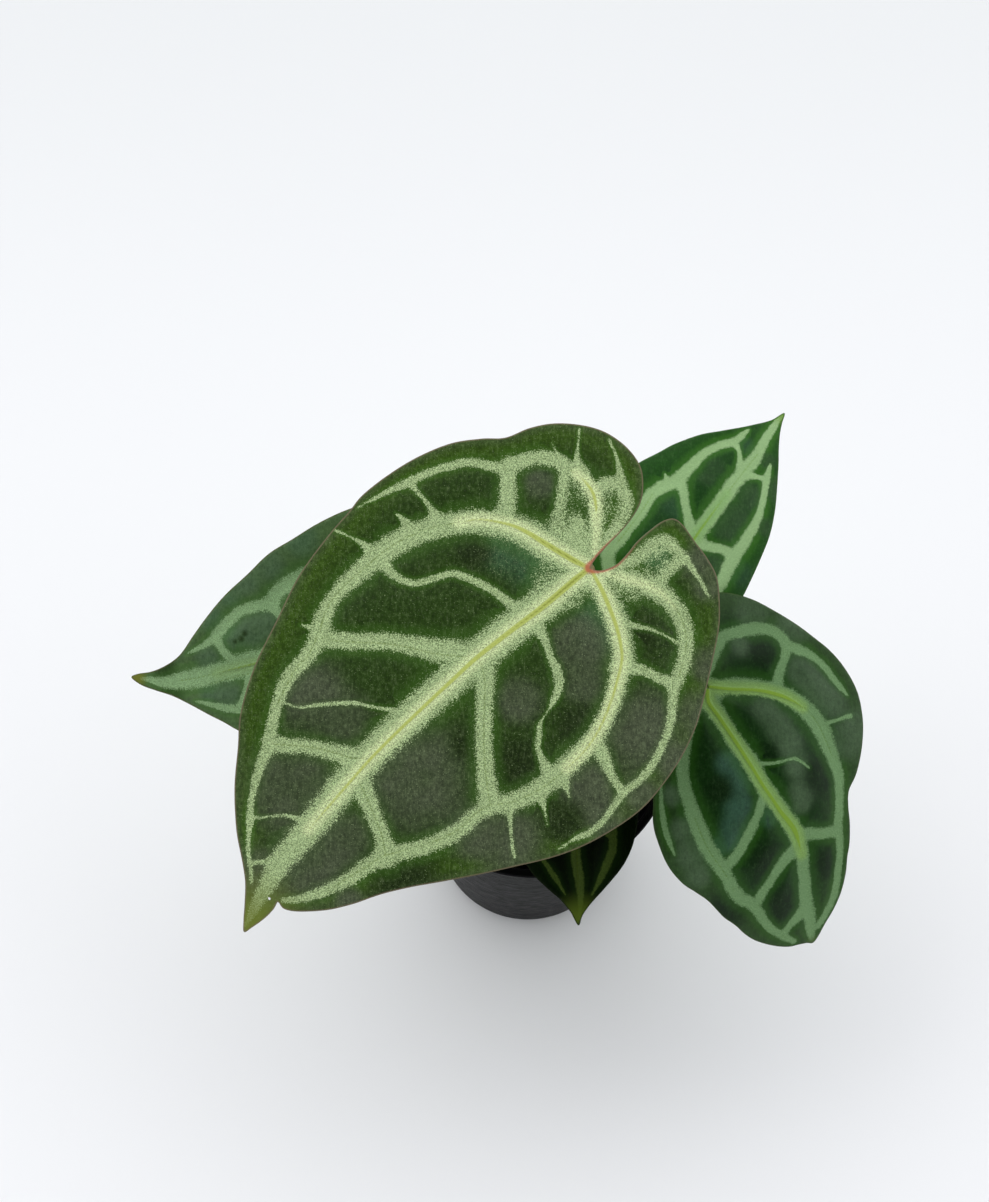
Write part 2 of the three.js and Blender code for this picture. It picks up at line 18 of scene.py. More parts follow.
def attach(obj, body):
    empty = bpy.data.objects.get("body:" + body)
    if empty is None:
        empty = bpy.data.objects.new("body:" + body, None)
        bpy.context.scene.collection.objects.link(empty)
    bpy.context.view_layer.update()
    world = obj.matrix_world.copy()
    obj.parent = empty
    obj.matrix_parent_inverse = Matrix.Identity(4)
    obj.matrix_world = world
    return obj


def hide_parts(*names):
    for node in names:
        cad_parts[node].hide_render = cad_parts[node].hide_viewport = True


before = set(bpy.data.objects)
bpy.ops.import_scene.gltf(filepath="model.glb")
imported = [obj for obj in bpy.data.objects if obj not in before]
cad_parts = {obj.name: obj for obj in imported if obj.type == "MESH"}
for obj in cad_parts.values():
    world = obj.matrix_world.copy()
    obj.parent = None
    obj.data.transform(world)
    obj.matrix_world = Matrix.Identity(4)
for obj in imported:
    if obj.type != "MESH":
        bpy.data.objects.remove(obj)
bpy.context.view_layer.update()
MM = 0.001
print("nodes:", ", ".join(sorted(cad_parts)))

# %% [markdown]
# ## The camera
#
# The plant is seen from 60 degrees above the floor, from the front, at a bit under half a metre.
# The lens and the place were found from the pot's rim, whose ellipse gives the angle. A camera
# could be placed by eye, but numbers give the same picture on every run. It is set first, so that
# every later step can be looked at from where it counts.

# %% Put the camera where the photograph was taken
bpy.ops.object.select_all(action="DESELECT")
bpy.ops.object.camera_add(location=(-0.01125, -0.173367, 0.464881), rotation=(math.radians(30), 0, 0))
camera = bpy.context.object
camera.data.sensor_width = 36
camera.data.lens = 41.93
camera.data.clip_start = 0.01
bpy.context.scene.camera = camera
print("camera at", tuple(round(c, 3) for c in camera.location))

# %% [markdown]
# ## The plan of a leaf
#
# A leaf is easiest to describe flat, in millimetres: x runs across, y runs from the stalk at
# (0, 0) to the tip, and the two back lobes reach to negative y. It could be sculpted, but a plan
# of chosen points can be checked and changed one point at a time.
#
# - base and tip place the leaf in space, and facing is where its upper side looks.
# - arch bows the midrib up, cup drops the sides, and wave and ripples ruffle the margin.
# - grain is the side of the blade's triangles, and hole is a tiny round gap: x, y, radius.
# - right and left are the outline, a few points that a smooth line passes through.
# - midrib and veins are lines of (x, y, half width). The width of the pale band is what gives
#   this plant its pattern. Lines of yellow lie on top, wherever their half width isn't negative,
#   and faint ones are thin grooves.
# - patches are soft blots of (x, y, radius, tint). Three tints paint light on the blade: a grey
#   sheen, a bluish sheen and shade. The tint mist mottles it.

# %% The front leaf
LEAVES = {}
LEAVES["front"] = dict(
    base=(13.9, 18.5, 150), tip=(-76.6, -64.8, 104), facing=(0, -0.5, 0.87),
    arch=6, cup=5, wave=1.2, ripples=7, grain=0.62,
    right=[(0, 0), (0.6, -3), (0.7, -8), (0.6, -13), (1, -18), (2.2, -22.5), (4.6, -26), (8, -29),
           (12, -30.4), (17, -30.7), (22.5, -29.6), (28, -26.6), (33.4, -21.8), (37.2, -16.2),
           (40, -9.8), (44.4, -5.1), (49.4, 1.5), (53.3, 10.4), (55.6, 19.3), (56.7, 27.5),
           (56.2, 33), (55.8, 41), (53.9, 54), (50, 66), (45.6, 79), (40, 90), (34.4, 97),
           (27.8, 105.4), (20, 113), (13.3, 117.8), (8.9, 121.3), (5, 125.8), (2.2, 129.3), (0, 131.5)],
    left=[(-2, -0.9), (-3.5, -3), (-4.6, -6), (-4.7, -10), (-4.4, -14), (-4.9, -19), (-5.7, -23),
          (-7.4, -25.4), (-10.5, -25.8), (-15.6, -24.8), (-21, -23.8), (-26.7, -21.7), (-32.2, -16.8),
          (-36.2, -12.2), (-40.6, -5.1), (-45.6, 3.8), (-49.4, 11.6), (-51.8, 20), (-53, 29),
          (-53, 37), (-51.1, 46), (-48.3, 54.3), (-44.4, 62), (-38.9, 70.4), (-33.9, 77.7),
          (-27.8, 86), (-23.3, 92), (-18.9, 98.8), (-15.6, 105.4), (-12.2, 111), (-8.9, 115),
          (-5.6, 118.2), (-3, 119.6), (-0.9, 119.3), (-1.4, 121.6), (-1.4, 125), (-0.7, 129)],
    midrib=[(0, 0, 2.4), (0.7, 4.5, 3.6), (1.5, 10, 4.1), (3.3, 21, 4.2), (4.8, 32, 4.2),
            (6, 43, 4.1), (6.8, 54, 4), (7.5, 64, 3.9), (7.8, 74, 3.8), (7.6, 85, 3.7),
            (6.7, 94, 3.5), (6.2, 103, 3.2), (5.6, 111.4, 2.7), (4.2, 118, 2.1), (2.4, 124.6, 1.3),
            (0.9, 130, 0.4)],
    veins=[
        # outer ring on the right, from the stalk to the tip
        [(0.9, 0.4, 2.4), (4.6, 1.6, 3.4), (8.5, 2.6, 3.8), (13.5, 3.7, 3.8), (18.3, 4.9, 3.5),
         (22.7, 6.7, 3.2), (26.5, 9.1, 3), (30.4, 12, 2.8), (33.4, 15.6, 2.7), (36.2, 19.3, 2.7),
         (38.4, 23.1, 2.7), (40.2, 27, 2.8), (41.6, 31.6, 2.8), (42.4, 36, 2.7), (42.8, 41.4, 2.4),
         (43.4, 46.8, 2.1), (43.2, 52, 1.8), (42.2, 56, 1.9), (40.4, 59.6, 2.3), (38.7, 62.3, 2.2),
         (37.6, 67, 1.9), (37.4, 72.4, 1.8), (36.8, 77, 1.6), (34.6, 81.7, 1.4), (31.8, 87, 1.4),
         (28.8, 91, 1.8), (27, 96, 1.3), (24.8, 100.6, 0.95), (22.1, 105.1, 0.75), (19.4, 108.4, 0.9),
         (16.8, 111.5, 0.6), (14, 114.7, 0.5), (10.2, 117.8, 0.5), (7.4, 120.4, 0.4)],
        # its four rungs to the midrib
        [(5.3, 38, 3.4), (9.4, 39.9, 3.1), (14.8, 43.6, 2.7), (20.5, 47.1, 2.2), (26.3, 51.5, 2),
         (31.8, 56.7, 1.9), (36, 60.2, 2.1), (38.4, 61.8, 2.2)],
        [(7.8, 75.6, 3.2), (11, 78.6, 2.6), (15.5, 80.9, 2), (21.1, 84.3, 1.8), (25.2, 87.8, 1.8),
         (28.5, 90.5, 2)],
        [(4.2, 21, 2.4), (8.9, 21.4, 1.1), (15.3, 22.2, 0.9), (21, 24, 0.85), (24.9, 25.9, 0.85),
         (27.2, 29.4, 0.75), (29.8, 34, 0.75), (32.8, 36.1, 0.8), (36.3, 37, 1), (38.8, 36.7, 1.5),
         (41, 36.3, 1.9)],
        [(8.3, 60.1, 2), (10.2, 61.3, 1.2), (12.4, 62.7, 0.5), (16.4, 65.4, 0.35), (19.6, 67.2, 0.45),
         (22.7, 70.1, 0.5), (25.9, 73.6, 0.45), (28.3, 76.7, 0.36), (30.2, 78.8, 0.25),
         (33.6, 80.4, 0.3)],
        [(8, 98.6, 2), (10.1, 99.7, 0.75), (12.9, 101.1, 0.42), (15.1, 103.4, 0.3), (17.2, 106, 0.28),
         (19.4, 108.2, 0.5)],
        [(6.9, 110.6, 1.8), (8.6, 113.8, 0.75), (11.6, 116.9, 0.5)],
        # spurs towards the right margin
        [(39.6, 60.6, 1.9), (41.9, 61.5, 0.7), (44.8, 63.2, 0.1)],
        [(44, 36.4, 2), (47.5, 36.6, 0.7), (50, 37.2, 0.3), (52.3, 37.9, 0.22), (55.3, 39, 0.4)],
        [(41, 25.2, 2), (44.2, 24.8, 0.75), (47.2, 24.8, 0.12)],
        # the right lobe
        [(0.2, -0.8, 1.8), (2.1, -3.3, 2), (4.2, -6.2, 2), (6.6, -9.5, 1.9), (9.2, -12.5, 1.8),
         (11.8, -14.7, 1.8), (15, -16, 1.8), (18.6, -16.2, 1.8), (22.4, -15.9, 1.8), (26, -14.9, 1.8),
         (29.1, -13, 1.8), (31.4, -10.3, 1.8), (32.9, -7.3, 1.9), (34.2, -4.4, 1.7),
         (36.4, -2.2, 1.2), (39.4, -0.5, 1.1), (42.6, 1.9, 1), (45, 5.4, 1), (48, 10.8, 0.9),
         (49.6, 14.6, 0.95), (50.6, 17.4, 1), (52, 20.8, 0.8), (53.2, 24.2, 0.55), (54.4, 27.8, 0.25),
         (55.4, 31, 0.15)],
        [(34, -5.4, 2.1), (32.3, -2.6, 2), (30.1, -0.4, 2.1), (28.1, 2, 2.1), (26.2, 4.6, 2.4)],
        [(38.6, 18.6, 1.8), (41.1, 17.5, 0.7), (43.6, 17.1, 0.45), (46.7, 16.8, 0.5), (49.4, 16.6, 0.95)],
        [(22.3, -14.3, 1.7), (20.9, -11.9, 1.1), (19, -9.3, 0.9), (17.2, -6.7, 0.9),
         (15.3, -4.2, 1.2), (13, -1.8, 2.2)],
        [(10.6, -6.4, 2), (8.8, -3.6, 3.2), (6, -0.8, 3)],
        [(12.7, -16.7, 1.7), (12.5, -19.4, 1.7), (10.4, -21.1, 1.6), (7.3, -21.3, 1.5),
         (4.5, -19.6, 1.3), (3, -16.7, 1.2), (2.3, -13, 1.5), (1.8, -9.1, 1.5), (1.6, -5, 1.4)],
        [(9.6, -22.4, 1.7), (11.8, -24.5, 0.85), (14.1, -26.1, 0.42), (16.6, -27.6, 0.3),
         (20, -29.1, 0.28)],
        [(18.8, -17, 2.1), (21.8, -18.6, 1), (23.7, -20.6, 0.4), (25.7, -23.2, 0.22), (27.4, -25.4, 0.3)],
        [(25.8, -15.8, 1.5), (27.6, -16.6, 0.4), (30, -17.2, 0.14)],
        # outer ring on the left, from the stalk to the tip
        [(-0.8, 0.2, 2.4), (-5.6, 1.5, 2.8), (-9.6, 3.2, 2.9), (-13.1, 4.7, 2.9), (-16.3, 6.5, 2.9),
         (-19.6, 8.7, 2.8), (-22.5, 11.4, 2.7), (-24.4, 14.3, 2.6), (-26.6, 18, 2.3),
         (-28.8, 22.7, 2.2), (-30.4, 27.6, 2.2), (-31.2, 32.8, 2.3), (-31.2, 38, 2.4),
         (-30.8, 43, 2.5), (-30.2, 48.7, 2.5), (-29, 54, 2.3), (-26.6, 59, 2.1), (-24, 62.6, 2),
         (-22.6, 67, 1.9), (-22.2, 72.2, 1.9), (-21, 76.6, 1.9), (-18.6, 82, 1.9), (-15, 87.6, 2),
         (-12.6, 91.8, 2.1), (-11.2, 96, 1.8), (-10.2, 101.6, 1.6), (-8.8, 106, 1.4),
         (-6.7, 110.7, 1.2), (-4.6, 114.5, 0.95), (-1.6, 118, 0.6)],
        # its rungs to the midrib
        [(5.6, 37, 3.8), (2.3, 38.6, 3.3), (-0.8, 41, 2.3), (-5.3, 46, 2), (-11.2, 52.3, 2),
         (-16, 56.8, 2.1), (-19.9, 60.1, 2.4), (-23, 62.4, 2.7)],
        [(7, 81.2, 3.6), (4, 82.1, 2.7), (1, 83.4, 2.2), (-4, 85.6, 1.9), (-8.4, 87.7, 1.9),
         (-10.7, 89, 2.3), (-12.9, 90.9, 2.7)],
        [(1.8, 21.4, 3.4), (-0.9, 21, 1.9), (-3.9, 21.8, 0.95), (-8.7, 24.4, 0.8),
         (-11.5, 25.3, 1.15), (-13.8, 26.8, 1.15), (-15.5, 28.7, 1), (-16.7, 31.8, 0.75),
         (-17.4, 34.4, 0.25), (-17.8, 36.8, 0.15), (-18.3, 38.8, 0.5), (-20.3, 41, 0.65),
         (-22, 43.4, 0.6), (-25, 45, 0.85), (-28.9, 46.3, 2)],
        [(-23.8, 13.6, 2.4), (-26.3, 11.4, 1.6), (-28.6, 9.9, 1.2), (-31, 9.1, 1.1),
         (-33.7, 8.4, 1.15), (-36.6, 7, 1.6)],
        [(-33, 32.8, 2.4), (-35.9, 33.4, 1.8), (-38.3, 34.4, 1.4), (-40.7, 35.4, 1.1),
         (-43.6, 36.3, 0.95), (-46.6, 36.5, 1)],
        [(-14.6, 5.4, 2.2), (-17.2, 4.1, 1.05), (-19.5, 2.8, 0.6), (-21.8, 1.2, 0.45),
         (-24.4, 0, 0.33), (-27.2, -0.9, 0.25), (-30.6, -1.7, 0.5)],
        # spurs towards the left margin
        [(-26.6, 59.4, 2.4), (-28.9, 61.2, 0.8), (-30.8, 63, 0.4), (-33.1, 65, 0.33),
         (-35.5, 67, 0.42), (-37.6, 68.4, 0.33)],
        [(-30.8, 52, 2), (-33.9, 53.6, 0.4), (-37.9, 56.4, 0.12)],
        [(-32, 45, 2.4), (-35.1, 46.2, 0.55), (-37.1, 47.3, 0.15)],
        # the left lobe
        [(-1.4, -0.6, 1.8), (-5.5, -2.8, 2.1), (-8.6, -4.3, 2.3), (-12.6, -6.4, 2.5),
         (-16, -7.8, 2.5), (-18.9, -8.4, 2.4), (-22, -8.3, 2.2), (-25.2, -7.8, 2.1), (-28.8, -6.3, 2),
         (-31.6, -4.1, 1.9), (-33.9, -1.4, 1.8), (-35.6, 1.6, 1.8), (-36.9, 5, 1.7),
         (-38.6, 8.6, 1.35), (-41.8, 12.6, 1.1), (-44.4, 16.8, 1), (-46.4, 22.4, 0.95),
         (-47.6, 28, 0.95), (-47.4, 32.4, 0.85), (-46.7, 36.4, 0.95), (-47.2, 41.2, 0.8),
         (-47.8, 46, 0.7), (-47, 51, 0.7), (-45.8, 53.4, 0.6), (-45, 56, 0.18), (-44.8, 57.3, 0.36),
         (-44.2, 59, 0.12)],
        [(-3.6, -2.8, 1.8), (-5.6, -6.4, 1.4), (-7, -9.6, 1.3), (-7.4, -12.5, 1.4),
         (-8.2, -15.8, 1.6), (-9.2, -19, 1.7), (-11.8, -19.8, 1.6), (-14.8, -19.7, 1.2),
         (-18, -19.3, 0.9), (-21.7, -18.5, 0.6), (-25, -17.7, 0.48), (-28.3, -16.5, 0.3)],
        [(-16.2, -19.4, 1.5), (-15.8, -16.3, 1.4), (-15.7, -13.3, 1.4), (-16, -9.6, 1.7)],
    ],
    yellow=[
        [(0, 0, 0.6), (0.7, 4.5, 0.85), (2, 15.8, 0.8), (3.8, 26.7, 0.68), (5.4, 37.5, 0.6),
         (6, 46, 0.54), (6.6, 55.7, 0.48), (7.1, 66, 0.44), (7.3, 76, 0.4), (6.9, 86.7, 0.34),
         (6.6, 93.2, 0.25), (6.3, 100, 0.05)],
        [(0.2, 0.2, 0.5), (3.6, 1.3, 0.8), (8.6, 2.5, 0.8), (13.6, 3.6, 0.75), (18, 4.5, 0.62),
         (22, 5.8, 0.46), (25.6, 7.8, 0.34), (30, 11, 0.2), (33.3, 15.3, 0.08)],
        [(2, -4, -0.6), (5, -8, -0.5), (8, -11, 0), (9.8, -13, 0.35), (12.9, -15.2, 0.42),
         (16, -16, 0.35), (19.7, -16, 0)],
        [(-0.6, 0.2, 0.4), (-6.1, 2, 0.6), (-11.1, 4.2, 0.58), (-15.7, 6.5, 0.52), (-19.8, 9.2, 0.46),
         (-22.8, 12, 0.4), (-25.4, 16.4, 0.36), (-28, 21.8, 0.32), (-30, 27, 0.3),
         (-31.3, 32.2, 0.25), (-31.7, 37, 0.2), (-31.4, 42, 0.1)],
        [(-1, -0.4, -0.3), (-5.5, -2.8, -0.2), (-8.6, -4.3, -0.2), (-12.6, -6.4, -0.25),
         (-16, -7.8, -0.4), (-19, -8.4, -0.7), (-24, -8, -1.4)],
    ],
    faint=[
        [(5.6, 37), (2.3, 38.6), (-0.8, 41), (-5.3, 46), (-11.2, 52.3), (-16, 56.8), (-19.9, 60.1),
         (-23, 62.4)],
        [(5.3, 38), (9.1, 40.6), (14.4, 44.6), (20.1, 47.8), (26, 52), (31.7, 57), (36, 60.4)],
        [(7, -10), (9.2, -12.5), (12.9, -15.2), (16, -16), (19.7, -16), (22, -15.5)],
        [(33.3, 15.3), (36.2, 19.3), (38.4, 23.1), (40.2, 27), (41.6, 31.6), (42.4, 36), (42.8, 41.4),
         (43.4, 46.8), (43.2, 52), (42.2, 56), (40.4, 59.6), (37.6, 67), (37.4, 72.4), (34.6, 81.7)],
        [(-31.4, 42), (-30.6, 48.7), (-29, 54), (-26.6, 59), (-23.4, 63), (-22.2, 67), (-21.9, 72.2),
         (-20.6, 76.6), (-18.2, 82), (-14.8, 87.6), (-12.4, 91.8), (-10.8, 98), (-9, 105)],
        [(7, 81.2), (1, 83.4), (-4, 85.6), (-8.4, 87.7), (-12.9, 90.9)],
        [(7.8, 75.6), (11, 78.6), (15.5, 80.9), (21.1, 84.3), (28.5, 90.5)],
        [(-5.5, -2.8), (-10.6, -5.4), (-17.5, -8.2), (-25.2, -7.8), (-31.6, -4.1), (-35.6, 1.6),
         (-36.9, 5)],
    ],
    patches=[
        (-4, 71, 14, "slate"), (20, 72, 7, "slate"), (29, 74, 9, "slate"), (17, 95, 12, "slate"),
        (-2, 96, 9, "slate"), (0, 107, 10, "slate"), (7, 118, 8, "slate"), (-14, 106, 4, "slate"),
        (-10, 38, 6, "slate"), (-12, 16, 8, "slate"), (-19, 23, 6, "slate"),
        (-39, 22, 11, "slate"), (-38, 42, 8, "slate"), (-33, 66, 9, "slate"), (-25, 71, 7, "slate"),
        (-20, -21, 5, "slate"), (-26, -18, 4, "slate"), (-40, -3, 5, "slate"), (-47, 9, 6, "slate"),
        (-51, 21, 6, "slate"), (-50, 34, 5, "slate"), (-47, 45, 6, "slate"), (25, -7, 4, "slate"),
        (13, 9, 8, "sea"), (-12, 9, 7, "sea"), (20, 13, 6, "sea"), (-11, -14.5, 4, "sea"),
        (-11, -13.6, 6, "mist"), (-13, -3, 3.4, "mist"), (-7, -1.6, 4, "mist"), (8, 10.5, 4, "mist"),
        (-2, 9, 4, "mist"), (16.5, -10.5, 5.5, "mist"), (7, -16.8, 5.5, "mist"), (14.5, -3.6, 4, "mist"),
        (-40, 53, 6, "deep"), (-20, 92, 10, "deep"), (-26, 32, 6, "deep"), (-21, 50, 7, "deep"),
        (25, 18, 5, "deep"), (-8, 55, 5, "deep"), (-22, 4, 5, "deep"), (-18, 57, 4, "deep"),
    ],
    hole=(1.3, 120.4, 0.42),
)
print("front leaf:", len(LEAVES["front"]["veins"]), "lines of pale tissue")

# %% [markdown]
# The four other leaves get the same kind of plan. They are smaller or partly hidden, so fewer
# lines are enough for them.

# %% The left leaf
LEAVES["left"] = dict(
    base=(-18, 11, 124), tip=(-113.6, 7.6, 108), facing=(0, -0.45, 0.9),
    arch=5, cup=4, wave=1, ripples=6, grain=0.7,
    right=[(0, 0), (1.6, -1.6), (2.6, -6), (3, -11), (4.2, -15), (7, -18.8), (12, -21), (18, -21.6),
           (25, -19.8), (32, -15), (37.5, -8), (41, 1), (42.4, 11), (42, 21), (39.8, 31),
           (36.7, 39.3), (33.3, 46.3), (30, 53.4), (25, 60.1), (20, 67.2), (15, 72.6), (10, 77.2),
           (5.8, 80.9), (3.6, 83.8), (1.8, 88), (0.9, 92), (0.8, 96), (0, 98)],
    left=[(-1.4, -1.8), (-2.2, -6), (-3, -10.5), (-4.6, -14), (-8, -17.4), (-13, -18.8), (-19, -17.6),
          (-25, -13.6), (-30, -7), (-33.2, 2), (-34.6, 13), (-34, 25), (-31.6, 37), (-27.6, 49),
          (-22.6, 59.6), (-17.9, 67.2), (-15.4, 70.9), (-12.9, 75.1), (-10, 79.7), (-6.7, 85.5),
          (-4.6, 90.5), (-2.5, 95.1)],
    midrib=[(0, 0, 3), (0.2, 20, 3.2), (0.4, 40, 3.4), (0.4, 54, 3.4), (0.1, 61.2, 3.3),
            (-0.3, 64.5, 3.1), (-1.1, 67.7, 2.7), (-1.4, 71, 2.6), (-1.8, 74.2, 2.7),
            (-2.3, 78.7, 2.6), (-2.5, 83.1, 2.3), (-2.6, 86.4, 1.8), (-2.1, 89.6, 1.2),
            (-1.3, 92, 0.85), (-0.6, 95, 0.4)],
    veins=[
        # ring on the right and its rungs to the midrib
        [(0, 0, 2.4), (9, 1.8, 2.3), (16, 5.5, 2.2), (20.5, 11.5, 2.2), (22.8, 19, 2.2),
         (23.6, 27, 2.2), (23.8, 35, 2.2), (23.2, 42, 2.2), (21.4, 47.6, 2.2), (18.5, 52.5, 2.1),
         (16.3, 54.6, 1.9), (15.9, 58, 1.6), (15.1, 62.9, 1.5), (13.6, 65.5, 1.5), (11.4, 68.2, 1.5),
         (9.6, 70.1, 1.5), (8, 72, 1.2), (6.7, 74.4, 0.9), (5.6, 77.4, 0.5), (4.7, 80.1, 0.15)],
        [(0.6, 43, 2.6), (3.6, 46.4, 1.2), (7.7, 48.9, 1), (11.9, 51.4, 1.1), (13.7, 52.5, 1.2),
         (16.1, 54.2, 1.8)],
        [(8.7, 71, 1.3), (5.8, 69.8, 1.1), (3.8, 68.7, 1.1), (2.1, 67.3, 1.3), (0.7, 65.8, 1.4)],
        [(0, 0, 2.4), (7, -6.5, 2.2), (14, -10.4, 1.9), (21, -10.6, 1.7), (27.6, -6.8, 1.6),
         (32, 0.4, 1.3), (34.6, 10, 1.1), (35.4, 19, 0.6)],
        [(24, 11, 1.4), (29, 6, 1), (33, 3.6, 0.9)],
        [(0, 22, 1), (8, 25, 0.8), (16, 28, 0.7), (24, 29, 1)],
        # ring on the left and its rungs
        [(0, 0, 2.4), (-8, 2.2, 2.2), (-15, 6.4, 2), (-20, 13.6, 2), (-22.4, 23, 1.9),
         (-22.6, 33, 1.8), (-21, 42.6, 1.7), (-17.6, 52, 1.5), (-14.4, 59, 1.2), (-12.9, 64, 1),
         (-12.2, 66.8, 1), (-11.7, 69.2, 1.1), (-10.6, 73, 0.75), (-9.5, 76, 0.55), (-8.6, 79, 0.2)],
        [(-0.8, 44, 2.2), (-7, 49, 1.3), (-12.6, 53, 1.2), (-17.4, 53.4, 1.4)],
        [(-2.6, 61.5, 1.8), (-4.8, 62.7, 1.1), (-6.7, 63.4, 0.8), (-9, 64.5, 0.8), (-11.6, 65.9, 1)],
        [(0, 0, 2.4), (-6.4, -5.6, 2.1), (-13, -9, 1.8), (-19.4, -8, 1.6), (-24.6, -3, 1.4),
         (-28, 5, 1.1), (-29.4, 14, 0.7)],
        [(-0.2, 21, 1), (-8, 25, 0.8), (-15, 28, 0.7), (-22, 28, 1)],
    ],
    yellow=[
        [(0, 0, 0.4), (0.2, 20, 0.4), (0.4, 40, 0.4), (0.2, 56, 0.35), (-0.8, 66, 0.25),
         (-1.6, 72, 0.05)],
    ],
    faint=[
        [(9, 1.8), (16, 5.5), (20.5, 11.5), (22.8, 19), (23.6, 27), (23.8, 35)],
        [(-1.6, 72), (-2.3, 78.7), (-2.5, 83.1)],
        [(-2.6, 61.5), (-3.4, 68), (-4.4, 74)],
    ],
    patches=[
        (10.8, 55.6, 4, "slate"), (9, 60, 5, "slate"), (7.7, 66, 4, "sea"), (23, 60.5, 4, "slate"),
        (20, 66, 4, "sea"), (27, 54, 5, "slate"), (33, 44, 5, "sea"), (-8.2, 69, 4.5, "slate"),
        (-6.6, 74, 3.5, "sea"), (3.4, 74, 4, "slate"), (14, 72, 4, "sea"), (7.2, 63.4, 1, "deep"),
        (8.6, 62.2, 0.9, "deep"), (6.6, 65.2, 0.7, "deep"), (12.8, 67.4, 0.5, "deep"),
        (2, 87.5, 4, "deep"), (-6.2, 86, 4, "deep"),
    ],
)
print("left leaf:", len(LEAVES["left"]["veins"]), "lines of pale tissue")

# %% [markdown]
# The back leaf stands at the upper right, behind the others. Its band is broad and pale, and only
# its main veins can be made out.

